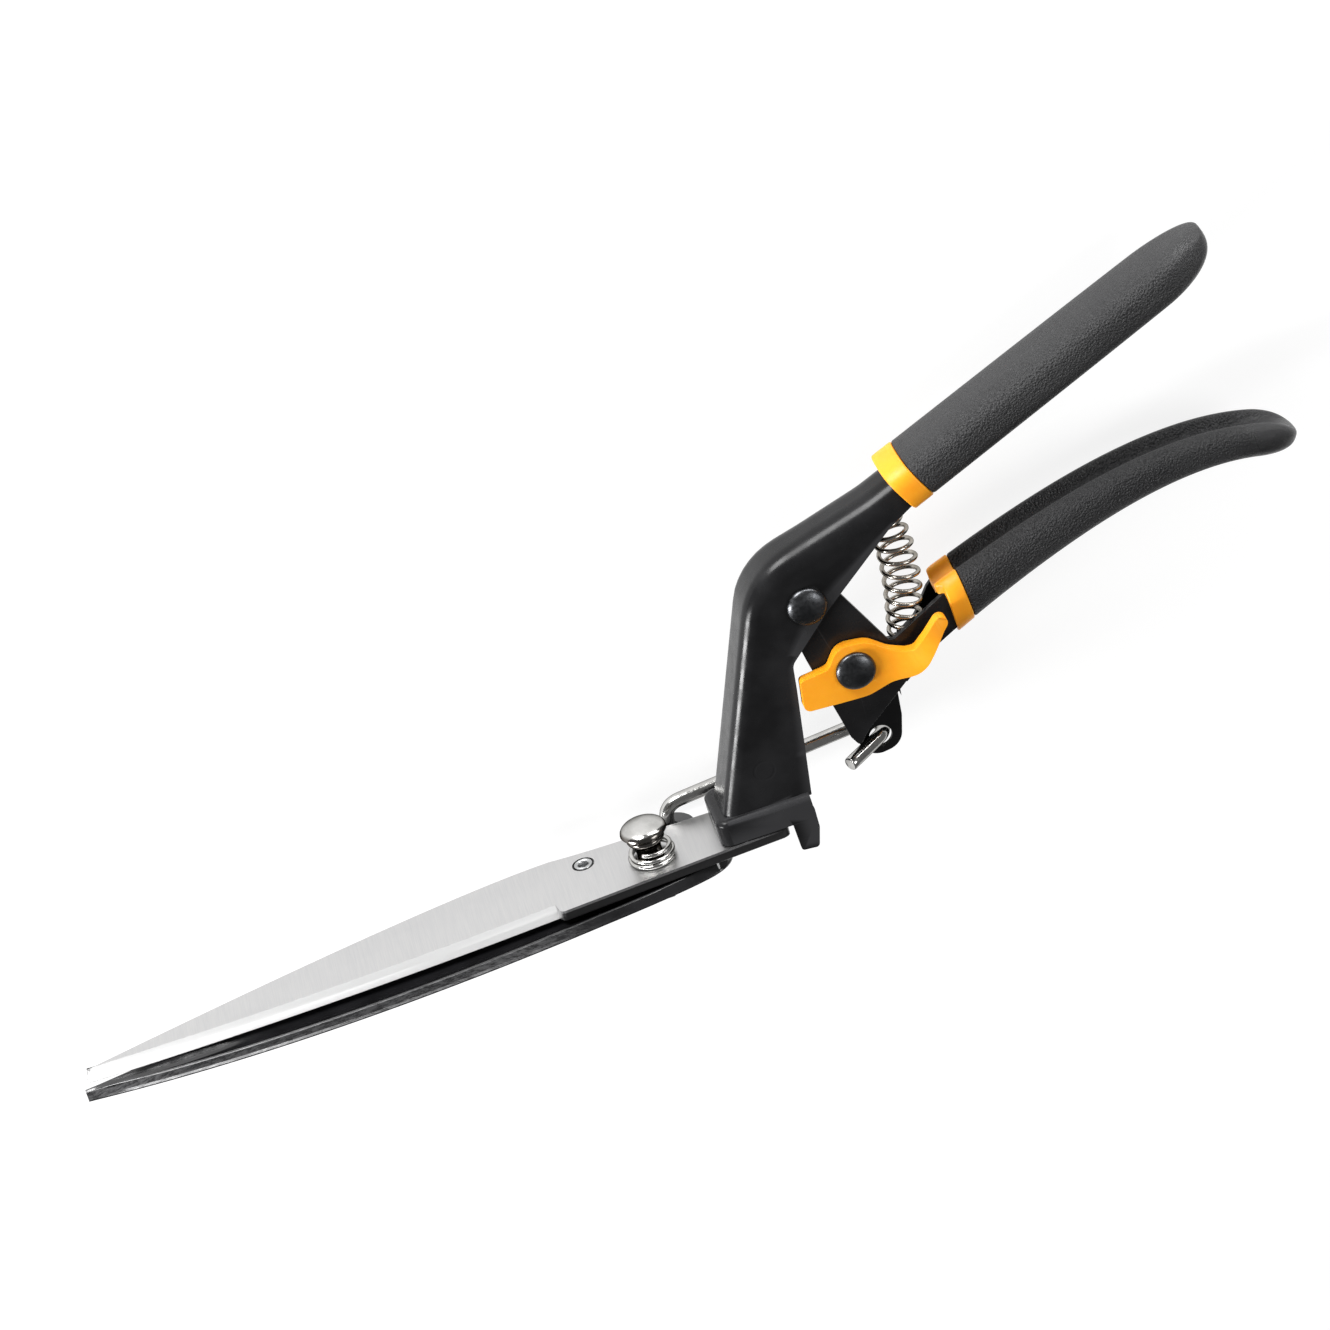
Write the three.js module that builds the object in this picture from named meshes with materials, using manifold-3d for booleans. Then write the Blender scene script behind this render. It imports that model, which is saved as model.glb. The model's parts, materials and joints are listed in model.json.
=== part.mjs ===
// One-handed grass shears: upright-handled cutting tool with a fixed upper blade, a swinging
// lower blade, a link rod, a return spring and a closing catch. Millimetres, +Z up.
// +X runs along the blades from the tip towards the handles, +Y is the blade normal towards
// the grips, and +Z is the axis of both handle pivots.
import * as THREE from 'three';
import { mergeVertices } from 'three/addons/utils/BufferGeometryUtils.js';
import Module from 'manifold-3d';

const wasm = await Module();
wasm.setup();

// ---------- driving dimensions (design frame: handle mid-plane z = 0, upper blade top y = 0) ----
const SHEET = 1.4;                    // pressed handle sheet
const FIT = 0.3;                      // working gap between neighbouring pieces
const FRAME_SHIFT = { x: -15.0, y: -55.3, z: 20.95 };  // design frame to the part's own origin

const UPPER_HALF = 7.9;               // upper handle outside half width
const UPPER_CORNER = 4.2;             // rounding of its back corners
const LOWER_HALF = 6.2;               // lower handle outside half width
const PIVOT_A = [54.2, 59.7];         // handle pivot (x, y)
const CATCH_C = [61.6, 38.4];         // catch pivot (x, y)
const ROD_B = [64.7, 8.45];           // rod hole in the lower handle's ear (x, y)
const ROD_SLOPE = THREE.MathUtils.degToRad(4.9);

const BLADE_T = 2.8;                  // upper blade thickness
const LOWER_T = 3.0;                  // lower blade thickness
const LOWER_TOP = -BLADE_T - FIT;     // lower blade's top face
const STUD = [-1.5, 2.0];             // blade pivot (x, z)
const STUD_R = 3.4;
const STUD_HOLE_R = 3.75;
const TAIL_HOLE = [5.8, -13.95];      // rod hole in the lower blade's tail (x, z)
const TAIL_HOLE_R = 2.9;
const LOBE_R = 7.0;

const ROD_R = 1.9;
const ROD_Z = -14.5;
const ROD_LEG = [6.0, 4.0];           // rod's left bend (x, y)
const HOOK_R = 5.5;                   // centre-line radius of the rod's hook
const HOOK_TURN = THREE.MathUtils.degToRad(145);
const HOOK_STUB = 11.8;
const HOOK_OFFSET = 3.6;               // hook centre ahead of the ear hole's centre

const FOOT_HALF = 9.7;
const FOOT_FRONT = 16.4, FOOT_REAR = 42.0, FOOT_TOP = 7.3;

const RIVET_HEAD_R = 5.2;
const RIVET_SHAFT_R = 2.9;
const CATCH_T = 3.1;                  // catch thickness
const CATCH_BASE = LOWER_HALF + FIT;  // catch's inner face (z)

const SPRING_WIRE = 0.55, SPRING_R = 4.0, SPRING_TURNS = 11;
const SPRING_FOOT = [77.4, 37.9], SPRING_HEAD = [78.0, 77.2];

const GRIP_AXIS = { from: [84.2, 81.0], angle: THREE.MathUtils.degToRad(22.7), length: 98.0 };
const COLLAR_L = 6.0;

const BLACK_PAINT = [0x17181a, 0.38, 0.35];
const PVC_UPPER = [0x2c2d2f, 0.8, 0.0];
const PVC_LOWER = [0x222325, 0.8, 0.0];
const ORANGE = [0xf7a11a, 0.45, 0.0];
const STEEL_GROUND = [0xc9c9c8, 0.36, 1.0];
const COATED = [0x1b1c1e, 0.3, 0.5];
const CHROME = [0xd8d6d2, 0.16, 1.0];
const STAINLESS = [0xb9b1a8, 0.25, 1.0];
const GUNMETAL = [0x3c4046, 0.42, 0.9];
const ZINC = [0xa9abad, 0.4, 0.9];

// ---------- geometry helpers -------------------------------------------------------------------
/** A three.js geometry as a closed solid, facing out. */
function solid(geometry) {
  geometry.deleteAttribute('normal');
  geometry.deleteAttribute('uv');
  const merged = mergeVertices(geometry, 1e-4);
  const p = merged.attributes.position.array, index = merged.index.array;
  const tris = [];
  let volume = 0;
  for (let i = 0; i < index.length; i += 3) {
    const [a, b, c] = [index[i], index[i + 1], index[i + 2]];
    if (a === b || b === c || a === c) continue;
    tris.push(a, b, c);
    const [va, vb, vc] = [a, b, c].map((k) => new THREE.Vector3().fromArray(p, 3 * k));
    volume += va.dot(vb.cross(vc));
  }
  if (volume < 0) for (let i = 0; i < tris.length; i += 3) tris.splice(i, 2, tris[i + 1], tris[i]);
  return new wasm.Manifold(new wasm.Mesh({
    numProp: 3, vertProperties: Float32Array.from(p), triVerts: Uint32Array.from(tris),
  }));
}

const join = (first, ...rest) => rest.reduce((a, b) => a.add(b), first);
const cut = (first, ...rest) => rest.reduce((a, b) => a.subtract(b), first);

/** Closed outline through [x, y, radius] corners, every corner an arc of its radius. */
function outline(corners) {
  const shape = new THREE.Shape();
  corners.forEach(([x, y, r = 0], i) => {
    const at = new THREE.Vector2(x, y);
    const next = corners[(i + 1) % corners.length], prev = corners.at(i - 1);
    const u = new THREE.Vector2(prev[0], prev[1]).sub(at).normalize();
    const v = new THREE.Vector2(next[0], next[1]).sub(at).normalize();
    const place = i === 0 ? 'moveTo' : 'lineTo';
    if (r === 0) return void shape[place](x, y);
    const half = Math.acos(THREE.MathUtils.clamp(u.dot(v), -1, 1)) / 2;
    const a = u.clone().multiplyScalar(r / Math.tan(half)).add(at);
    const b = v.clone().multiplyScalar(r / Math.tan(half)).add(at);
    const c = u.clone().add(v).normalize().multiplyScalar(r / Math.sin(half)).add(at);
    shape[place](a.x, a.y);
    const clockwise = u.cross(v) > 0;
    shape.absarc(c.x, c.y, r, Math.atan2(a.y - c.y, a.x - c.x), Math.atan2(b.y - c.y, b.x - c.x), clockwise);
  });
  return shape;
}

/** Shape as a plain polygon, without the doubled points where its curves meet. */
function polygon(shape, curveSegments) {
  const points = shape.getPoints(curveSegments);
  return new THREE.Shape(points.filter((p, i) => p.distanceTo(points.at(i - 1)) > 0.004));
}

/** Shape in the xy plane, extruded from z0 to z1; `round` rounds both of its rims. */
function plateZ(shape, z0, z1, curveSegments = 3, round = 0, bevelSegments = 4) {
  const g = new THREE.ExtrudeGeometry(polygon(shape, curveSegments), {
    depth: z1 - z0 - 2 * round, bevelEnabled: round > 0,
    bevelThickness: round, bevelSize: round, bevelOffset: -round, bevelSegments,
  });
  return g.translate(0, 0, z0 + round);
}

/** Shape given in the xz plane, extruded downwards from y = top by `thickness`. */
function plateY(shape, top, thickness, curveSegments = 3, round = 0) {
  return plateZ(shape, 0, thickness, curveSegments, round, 3).rotateX(Math.PI / 2).translate(0, top, 0);
}

/** Turned piece from [radius, height] points, along y, standing at (x, y, z). */
function turnedY(profile, [x, y, z], segments = 24) {
  const points = profile.map(([r, h]) => new THREE.Vector2(r, h));
  return new THREE.LatheGeometry(points, segments).translate(x, y, z);
}

/** Turned piece along z. */
function turnedZ(profile, [x, y, z], segments = 24) {
  return turnedY(profile, [0, 0, 0], segments).rotateX(Math.PI / 2).translate(x, y, z);
}

const rodProfile = (r, length) => [[0, 0], [r, 0], [r, length], [0, length]];
const tubeProfile = (inner, outer, length) =>
  [[inner, 0], [outer, 0], [outer, length], [inner, length], [inner, 0]];

/** Round wire of radius r along a curve. */
function wire(curve, r, steps, sides = 10) {
  const circle = new THREE.Shape();
  circle.absarc(0, 0, r, 0, 2 * Math.PI);
  return new THREE.ExtrudeGeometry(polygon(circle, sides / 2), { extrudePath: curve, steps });
}

/** Coil wound about a centre curve in the xy plane, its radius running from r0 to r1. */
class Coil extends THREE.Curve {
  constructor(centre, r0, r1, turns) {
    super();
    Object.assign(this, { centre, r0, r1, turns });
  }

  getPoint(t, target = new THREE.Vector3()) {
    const a = 2 * Math.PI * this.turns * t;
    const r = THREE.MathUtils.lerp(this.r0, this.r1, t);
    const c = this.centre.getPoint(t), along = this.centre.getTangent(t);
    const side = r * Math.cos(a);
    return target.set(c.x + along.y * side, c.y - along.x * side, r * Math.sin(a));
  }
}

/** Sleeve-like body along a curve in the xy plane: rounded-square sections, domed far end. */
function sleeve(curve, s0, s1, halfDepth, halfWidth, { dome = 0, sides = 28, rings = 8, rake = () => 0 }) {
  const profile = [[0, s0]];
  for (let i = 0; i <= rings; i += 1) profile.push([1, THREE.MathUtils.lerp(s0, s1 - dome, i / rings)]);
  for (let i = 1; i < 4 && dome > 0; i += 1) {
    const a = (i * Math.PI) / 8;
    profile.push([Math.cos(a), s1 - dome + dome * Math.sin(a)]);
  }
  profile.push([0, s1]);
  const g = turnedY(profile, [0, 0, 0], sides);
  const length = curve.getLength();
  const squareness = 0.68;
  const bend = (value) => Math.sign(value) * Math.abs(value) ** squareness;
  const p = g.attributes.position;
  for (let i = 0; i < p.count; i += 1) {
    const [x, s, z] = [p.getX(i), p.getY(i), p.getZ(i)];
    const rho = Math.hypot(x, z) || 1;
    const u = THREE.MathUtils.clamp(s / length, 0, 1);
    const c = curve.getPointAt(u), t = curve.getTangentAt(u);
    const n = rho * halfDepth(u) * bend(x / rho) * (x === 0 && z === 0 ? 0 : 1);
    const w = rho * halfWidth(u) * bend(z / rho) * (x === 0 && z === 0 ? 0 : 1);
    const lean = rake(u) * n;
    p.setXYZ(i, c.x - t.y * n + t.x * lean, c.y + t.x * n + t.y * lean, w);
  }
  return g;
}

// ---------- upper handle -----------------------------------------------------------------------
const gripDir = new THREE.Vector2(Math.cos(GRIP_AXIS.angle), Math.sin(GRIP_AXIS.angle));
/** Point `along` the upper grip's axis and `above` it. */
const gripPoint = (along, above) => [
  GRIP_AXIS.from[0] + along * gripDir.x - above * gripDir.y,
  GRIP_AXIS.from[1] + along * gripDir.y + above * gripDir.x,
];

/** Corners of the upper channel's back line, moved in by `inset`. */
const upperBack = (inset) => [
  [18.2 + inset, 5.0], [41.4 + 0.8 * inset, 71.2 - 0.9 * inset, 21 - inset],
  [...gripPoint(-8, 3.6 - inset), 30], gripPoint(94, 3.0 - inset),
];

/** Area behind the back line, running well past the open side. */
const upperFill = (inset) => outline([
  ...upperBack(inset), gripPoint(94, -12), gripPoint(0, -16), [70, 40], [56, 5.0],
]);

/** Side outline that cuts the flanges' free edges. */
const upperTrim = () => outline([
  ...upperBack(-3).slice(0, 3), gripPoint(86, 8), gripPoint(86, -2.4), [...gripPoint(2, -4.0), 6], [79.6, 73.4, 6],
  [59.0, 56.4], [46.8, 44.6, 2], [46.1, 37.4], [42.3, 5.0],
]);

function footPlan(inset, rear) {
  const z = FOOT_HALF - inset;
  return outline([
    [FOOT_FRONT + inset, -z, 3.2 - inset], [rear, -z], [rear, z], [FOOT_FRONT + inset, z, 3.2 - inset],
  ]);
}

function hookTab(z) {
  return plateZ(outline([
    [35.4, 3.0], [36.0, -7.9, 0.8], [40.6, -8.4, 0.8], [42.0, -2.6, 1.5], [42.0, 3.0],
  ]), z - SHEET / 2, z + SHEET / 2);
}

function upperHandleChannel() {
  const back = plateZ(upperFill(0), -UPPER_HALF, UPPER_HALF, 6, UPPER_CORNER);
  const trim = plateZ(upperTrim(), -20, 20, 3);
  const hollow = plateZ(upperFill(SHEET), -UPPER_HALF + SHEET, UPPER_HALF - SHEET, 4, 1.6, 2);
  const leg = cut(solid(back).intersect(solid(trim)), solid(hollow));
  const box = solid(plateY(footPlan(0, FOOT_REAR + 4), FOOT_TOP, FOOT_TOP - FIT + 4, 3, 1.5));
  const boxHollow = solid(plateY(footPlan(SHEET, FOOT_REAR + 6), FOOT_TOP - SHEET, 20));
  const boxRear = solid(plateZ(outline([
    [FOOT_FRONT - 2, FIT], [FOOT_REAR, FIT], [FOOT_REAR - 0.5, FOOT_TOP + 1], [FOOT_FRONT - 2, FOOT_TOP + 1],
  ]), -20, 20));
  const legRoom = solid(plateZ(outline([
    [20.0, 3.0], [60, 3.0], [60, 12.0], [23.0, 12.0],
  ]), -UPPER_HALF + SHEET, UPPER_HALF - SHEET));
  const floor = solid(plateY(footPlan(0.8, 33.4), FIT + SHEET, SHEET));
  const holes = TANG_RIVETS.map((x) => solid(turnedY(rodProfile(TANG_RIVET_R + 0.15, 8), [x, -2, 1.0], 16)));
  const foot = cut(join(cut(box.intersect(boxRear), boxHollow, legRoom), floor), ...holes);
  const tabs = [-1, 1].map((side) => solid(hookTab(side * (FOOT_HALF - SHEET / 2))));
  const pins = [
    solid(turnedZ(rodProfile(RIVET_SHAFT_R + 0.2, 40), [...PIVOT_A, -20], 24)),
  ];
  return cut(join(leg, foot, ...tabs), ...pins);
}

const TANG_RIVETS = [22.5, 29.5];
const TANG_RIVET_R = 1.8;

/** Countersunk rivet holding the blade tang to the foot's floor. */
function tangRivet(x) {
  const head = FIT + SHEET;
  return solid(turnedY([
    [0, -BLADE_T], [TANG_RIVET_R + 0.9, -BLADE_T], [TANG_RIVET_R, -BLADE_T + 0.9], [TANG_RIVET_R, head + 0.2],
    [3.2, head + 0.2], [2.9, head + 1.0], [1.6, head + 1.5], [0, head + 1.6],
  ], [x, 0, 1.0], 16));
}

const upperAxis = new THREE.LineCurve3(
  new THREE.Vector3(...gripPoint(0, 0), 0), new THREE.Vector3(...gripPoint(GRIP_AXIS.length, 0), 0),
);
const upperDepth = (u) => 6.8 - 0.3 * u - 0.5 * u ** 4;
const upperWidth = (u) => 9.6 - 0.5 * u;
const upperRake = (u) => -0.11 * Math.max(0, 1 - 3 * u);

/** Room the upper channel takes inside the collar and the sleeve. */
function upperRoom() {
  const half = UPPER_HALF + FIT;
  const closed = plateZ(outline([
    gripPoint(-6, 9), gripPoint(86.4, 9), gripPoint(86.4, -2.8), gripPoint(2, -4.4), gripPoint(-6, -4.4),
  ]), -half, half);
  return solid(plateZ(upperFill(-FIT), -half, half, 6, UPPER_CORNER)).intersect(solid(closed));
}

function upperGrip() {
  return cut(solid(sleeve(upperAxis, COLLAR_L + FIT, GRIP_AXIS.length, upperDepth, upperWidth,
    { dome: 9, rake: upperRake })), upperRoom());
}

function upperGripCollar() {
  const body = sleeve(upperAxis, 0, COLLAR_L, upperDepth, upperWidth, { rings: 1, rake: upperRake });
  return cut(solid(body), upperRoom());
}

function handlePivotRivet() {
  const reach = UPPER_HALF + FIT;
  return solid(turnedZ([
    [0, -reach - 2.3], [2.2, -reach - 2.0], [4.0, -reach - 1.2], [RIVET_HEAD_R - 0.4, -reach - 0.3],
    [RIVET_HEAD_R - 0.4, -reach], [RIVET_SHAFT_R, -reach], [RIVET_SHAFT_R, reach],
    [RIVET_HEAD_R, reach], [RIVET_HEAD_R, reach + 0.9], [4.4, reach + 1.7], [2.6, reach + 2.3], [0, reach + 2.6],
  ], [...PIVOT_A, 0], 28));
}

// ---------- blades -----------------------------------------------------------------------------
function upperBlade() {
  const s = new THREE.Shape();
  s.moveTo(-156.0, 11.6);
  s.lineTo(-155.6, 13.7);
  s.quadraticCurveTo(-95, 16.4, -29.0, 11.4);
  s.lineTo(-28.2, 12.8);
  s.quadraticCurveTo(-27.7, 13.5, -26.6, 13.4);
  s.lineTo(16.1, 10.5);
  s.lineTo(32.2, 9.5);
  s.quadraticCurveTo(34.4, 9.3, 34.4, 7.3);
  s.lineTo(34.4, -7.4);
  s.quadraticCurveTo(34.4, -9.4, 32.2, -9.5);
  s.lineTo(-10, -10.7);
  s.quadraticCurveTo(-20, -11.0, -27, -11.9);
  s.bezierCurveTo(-54, -11.6, -110, 0.4, -156.0, 11.6);
  const g = plateY(s, 0, BLADE_T, 5);
  const p = g.attributes.position;
  const edge = (x) => {                      // cutting edge, for the ground bevel above it
    const t = THREE.MathUtils.clamp((x + 155.6) / 126.6, 0, 1);
    return THREE.MathUtils.lerp(13.7, 11.4, t) + 4 * 1.93 * t * (1 - t);
  };
  for (let i = 0; i < p.count; i += 1) {
    const [x, y, z] = [p.getX(i), p.getY(i), p.getZ(i)];
    if (y > -0.01 && x < -28.5 && Math.abs(z - edge(x)) < 0.9) p.setZ(i, z - 2.3);
    if (y > -0.01 && x < -155) p.setX(i, x + 2.0);
  }
  const studHole = solid(turnedY(rodProfile(STUD_R + 0.2, 10), [STUD[0], -5, STUD[1]], 24));
  const pinHole = solid(turnedY([
    [0, -5], [1.75, -5], [1.75, -0.6], [2.9, -0.6], [2.9, 1], [0, 1],
  ], [BEARING_PIN[0], 0, BEARING_PIN[1]], 20));
  const tangHoles = TANG_RIVETS.map((x) => solid(turnedY([
    [0, -BLADE_T - 1], [TANG_RIVET_R + 1.15, -BLADE_T - 1], [TANG_RIVET_R + 1.15, -BLADE_T],
    [TANG_RIVET_R + 0.15, -BLADE_T + 1], [TANG_RIVET_R + 0.15, 2], [0, 2],
  ], [x, 0, 1.0], 16)));
  return cut(solid(g), studHole, pinHole, ...tangHoles);
}

const BEARING_PIN = [-18.7, -5.4];           // small tubular rivet in the upper blade (x, z)

function bearingPin() {
  return solid(turnedY([
    [0, -BLADE_T], [1.5, -BLADE_T], [1.5, -0.35], [2.7, -0.35], [2.7, 0.15], [2.2, 0.35], [1.2, 0.1], [1.0, -1.4], [0, -1.5],
  ], [BEARING_PIN[0], 0, BEARING_PIN[1]], 20));
}

function lowerBlade() {
  const s = new THREE.Shape();
  s.moveTo(-156.9, 15.4);
  s.lineTo(-156.6, 17.0);
  s.bezierCurveTo(-120, 22.8, -76, 23.8, -18.0, 16.2);
  s.quadraticCurveTo(4, 13.6, 12.0, 11.0);
  s.quadraticCurveTo(19.0, 8.4, 18.8, 3.6);
  s.quadraticCurveTo(17.0, -5.0, TAIL_HOLE[0] + LOBE_R, TAIL_HOLE[1] + 1.0);
  s.absarc(TAIL_HOLE[0], TAIL_HOLE[1], LOBE_R, 0.15, -2.65, true);
  s.quadraticCurveTo(-5.5, -10.6, -14, -9.6);
  s.lineTo(-26, -7.6);
  s.quadraticCurveTo(-32, -6.4, -40, -3.4);
  s.lineTo(-156.9, 15.4);
  const g = plateY(s, LOWER_TOP, LOWER_T, 5);
  const p = g.attributes.position;
  for (let i = 0; i < p.count; i += 1) {     // ground flat below the cutting edge, and a thinned tip
    const [x, y, z] = [p.getX(i), p.getY(i), p.getZ(i)];
    const below = y < LOWER_TOP - 1;
    if (below && x < -39 && x > -155 && z < 4) p.setZ(i, z + 2.4);
    if (below && x < -156) p.setX(i, x + 1.6);
  }
  const hollow = new THREE.Shape();          // dished channel behind the near rim
  hollow.moveTo(-147, 16.2);
  hollow.bezierCurveTo(-118, 20.0, -76, 21.2, -18.5, 13.8);
  hollow.quadraticCurveTo(2, 11.2, 11.6, 8.4);
  hollow.quadraticCurveTo(14.6, 7.4, 11.6, 6.9);
  hollow.lineTo(-24, 7.6);
  hollow.lineTo(-147, 16.2);
  const studHole = solid(turnedY(rodProfile(STUD_HOLE_R, 12), [STUD[0], -10, STUD[1]], 24));
  const tailHole = solid(turnedY(rodProfile(TAIL_HOLE_R, 12), [TAIL_HOLE[0], -10, TAIL_HOLE[1]], 24));
  return cut(solid(g), solid(plateY(hollow, LOWER_TOP + 1, 2.3, 5)), studHole, tailHole);
}

// ---------- blade pivot ------------------------------------------------------------------------
const LOWER_BOTTOM = LOWER_TOP - LOWER_T;
const studAt = (y) => [STUD[0], y, STUD[1]];

function pivotStud() {
  return solid(turnedY([
    [0, LOWER_BOTTOM - 5.2], [STUD_R - 0.6, LOWER_BOTTOM - 5.2], [STUD_R, LOWER_BOTTOM - 4.6],
    [STUD_R, 4.0], [3.9, 5.4], [4.6, 6.2], [5.1, 6.5], [5.1, 7.3], [4.7, 7.6],
    [6.1, 8.3], [6.2, 8.9], [5.2, 9.9], [3.4, 10.8], [1.6, 11.2], [0, 11.3],
  ], studAt(0), 32));
}

function studSpring() {
  const axis = new THREE.LineCurve3(new THREE.Vector3(0, 1.0, 0), new THREE.Vector3(0, 3.9, 0));
  return solid(wire(new Coil(axis, 5.9, 4.9, 2.2), 0.6, 44, 8).translate(...studAt(0)));
}

function studWasher() {
  return solid(turnedY(tubeProfile(STUD_R + 0.2, 6.6, 1.0), studAt(LOWER_BOTTOM - FIT - 1.0), 28));
}

function studNut() {
  const hex = new THREE.Shape();
  for (let i = 0; i < 6; i += 1) {
    hex[i ? 'lineTo' : 'moveTo'](5.6 * Math.cos((i * Math.PI) / 3), 5.6 * Math.sin((i * Math.PI) / 3));
  }
  const top = LOWER_BOTTOM - 2 * FIT - 1.0;
  const nut = plateY(hex, top, 3.0, 1, 0.4).translate(STUD[0], 0, STUD[1]);
  return cut(solid(nut), solid(turnedY(rodProfile(STUD_R + 0.2, 6), studAt(top - 4.5), 24)));
}

// ---------- lower handle -----------------------------------------------------------------------
const GRIP_TOP = [[88.6, 49.4], [118, 60.0], [146, 70.2], [168, 68.2]];
const GRIP_BASE = [[168, 62.8], [148, 65.6], [120, 53.0], [88.8, 38.2]];

const bezierPoints = (corners, lift, n = 7) => new THREE.CubicBezierCurve(
  ...corners.map(([x, y]) => new THREE.Vector2(x, y + lift)),
).getPoints(n).map((p) => [p.x, p.y]);

/** Side outline of the lower handle, with the ear that only the far flange keeps. */
const lowerSide = () => outline([
  [47.0, 62.6, 3], [51.6, 67.6, 7], [59.2, 67.0, 6], [72.6, 40.9, 1.6],
  ...bezierPoints(GRIP_TOP, 0), ...bezierPoints(GRIP_BASE, 0),
  [84.2, 35.8, 4], [72.9, 27.4, 5], [71.9, 12.6, 6], [70.0, 4.0, 5], [61.4, 3.0, 5],
  [57.6, 12.0], [55.0, 24.0], [50.6, 43.5],
]);

/** Corner cut from the far flange's free edge, which sits lower than the near one's. */
const farCut = () => outline([
  [60.6, 70], [60.6, 60.4, 3], [72.6, 33.6, 4], [81.6, 39.6, 4], [86.4, 46.6, 2], [92.0, 51.6], [92, 70],
]);

/** Everything between the flanges: all but the back web along the grip. */
const lowerOpen = () => outline([
  [40, -5], [78, -5], [72.0, 23.0], [68.6, 26.6], [72.8, 30.1], [83.2, 37.3],
  ...bezierPoints(GRIP_BASE, SHEET).reverse(), [185, 62], [185, 95], [40, 95],
]);

/** Corner cut from the near flange, which ends in a point ahead of the far flange's ear. */
const nearCut = () => outline([
  [80, 20], [73.9, 28.4], [61.4, 18.3, 2], [58.1, 14.4, 0.8], [55.9, 18.6], [50, 18.6], [50, -5], [80, -5],
]);

function lowerHandleChannel() {
  const inner = LOWER_HALF - SHEET;
  return cut(solid(plateZ(lowerSide(), -LOWER_HALF, LOWER_HALF)),
    solid(plateZ(lowerOpen(), -inner, inner)),
    solid(plateZ(nearCut(), 0, 10)),
    solid(plateZ(farCut(), -10, 0)),
    solid(turnedZ(rodProfile(RIVET_SHAFT_R + FIT, 40), [...PIVOT_A, -20], 24)),
    solid(turnedZ(rodProfile(CATCH_SHAFT_R + 0.2, 20), [...CATCH_C, 0], 20)),
    solid(turnedZ(rodProfile(EAR_HOLE_R, 10), [...ROD_B, -12], 24)));
}

/** Room for one of its flanges inside the collar and sleeve. */
const flangeRoom = () => outline([
  [81.6, 46.9], ...bezierPoints(GRIP_TOP, FIT), [168 + FIT, 68.2], [168 + FIT, 62.6],
  ...bezierPoints(GRIP_BASE, -FIT - 0.05), [82.0, 33.4],
]);

/** Room for the lower handle's back web inside its collar and sleeve. */
const webRoom = () => outline([
  ...bezierPoints(GRIP_BASE, SHEET + FIT), [81.8, 36.6], [82.0, 33.4],
  ...bezierPoints(GRIP_BASE, -FIT - 0.05).reverse(), [168 + FIT, 62.6], [168 + FIT, 64.4],
]);

const EAR_HOLE_R = 4.1;
const CATCH_SHAFT_R = 2.4;

/** Room the lower channel takes inside its collar and sleeve. */
function lowerRoom() {
  const inner = LOWER_HALF - SHEET;
  return join(
    solid(plateZ(flangeRoom(), inner - FIT, LOWER_HALF + FIT)),
    solid(plateZ(flangeRoom(), -LOWER_HALF - FIT, -inner + FIT)),
    solid(plateZ(webRoom(), -LOWER_HALF - FIT, LOWER_HALF + FIT)),
  );
}

const lowerAxis = new THREE.CubicBezierCurve3(
  new THREE.Vector3(88.7, 44.2, 0), new THREE.Vector3(120, 57.7, 0),
  new THREE.Vector3(161, 72.0, 0), new THREE.Vector3(186.6, 57.6, 0),
);
const lowerLength = lowerAxis.getLength();
const lowerDepth = (u) => 7.7 - 3.2 * u;
const lowerWidth = (u) => 8.1 - 0.7 * u;
const lowerRake = (u) => 0.34 * Math.max(0, 1 - 3 * u);

/** Finger groove along the open side of the lower grip. */
function gripGroove() {
  const a = new THREE.Vector3(80, 49.6, 0), b = new THREE.Vector3(116, 65.0, 0);
  const c = new THREE.Vector3(160, 81.0, 0), d = new THREE.Vector3(192, 62.0, 0);
  return solid(wire(new THREE.CubicBezierCurve3(a, b, c, d), 3.0, 14, 12));
}

function lowerGrip() {
  const body = sleeve(lowerAxis, COLLAR_L + FIT, lowerLength, lowerDepth, lowerWidth,
    { dome: 8, rings: 12, rake: lowerRake });
  return cut(solid(body), lowerRoom(), gripGroove());
}

function lowerGripCollar() {
  const body = sleeve(lowerAxis, 0, COLLAR_L, lowerDepth, lowerWidth, { rings: 1, rake: lowerRake });
  const open = solid(plateZ(outline([
    [84, 45.0], [93, 48.4], [93, 60], [80, 60],
  ]), -LOWER_HALF + SHEET + 0.9, LOWER_HALF - SHEET - 0.9));
  return cut(solid(body), lowerRoom(), open);
}

function pivotBush() {
  const half = LOWER_HALF - SHEET - FIT;
  return solid(turnedZ(tubeProfile(RIVET_SHAFT_R + 0.2, 4.6, 2 * half), [...PIVOT_A, -half], 24));
}

/** Stepped seats that centre the end coils of the handle spring. */
function upperSpringSeat() {
  const g = turnedY([[0, 0], [4.2, 0], [4.2, 0.8], [2.3, 0.8], [2.3, 2.6], [1.6, 3.3], [0, 3.3]], [0, 0, 0], 20);
  return solid(g.rotateZ(Math.PI + GRIP_AXIS.angle).translate(SPRING_HEAD[0] - 0.6, SPRING_HEAD[1] + 2.2, 0));
}

function lowerSpringSeat() {
  const body = turnedY([[0, -9], [4.0, -9], [4.0, -0.9], [2.3, -0.9], [2.3, 1.2], [1.6, 2.0], [0, 2.0]], [0, 0, 0], 20)
    .rotateZ(-0.27).translate(...SPRING_FOOT, 0);
  const below = outline([[60, 20.2], [72.9, 30.5], [83.3, 37.6], [95, 42], [95, 10], [60, 10]]);
  return cut(solid(body), solid(plateZ(below, -10, 10)));
}

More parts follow.
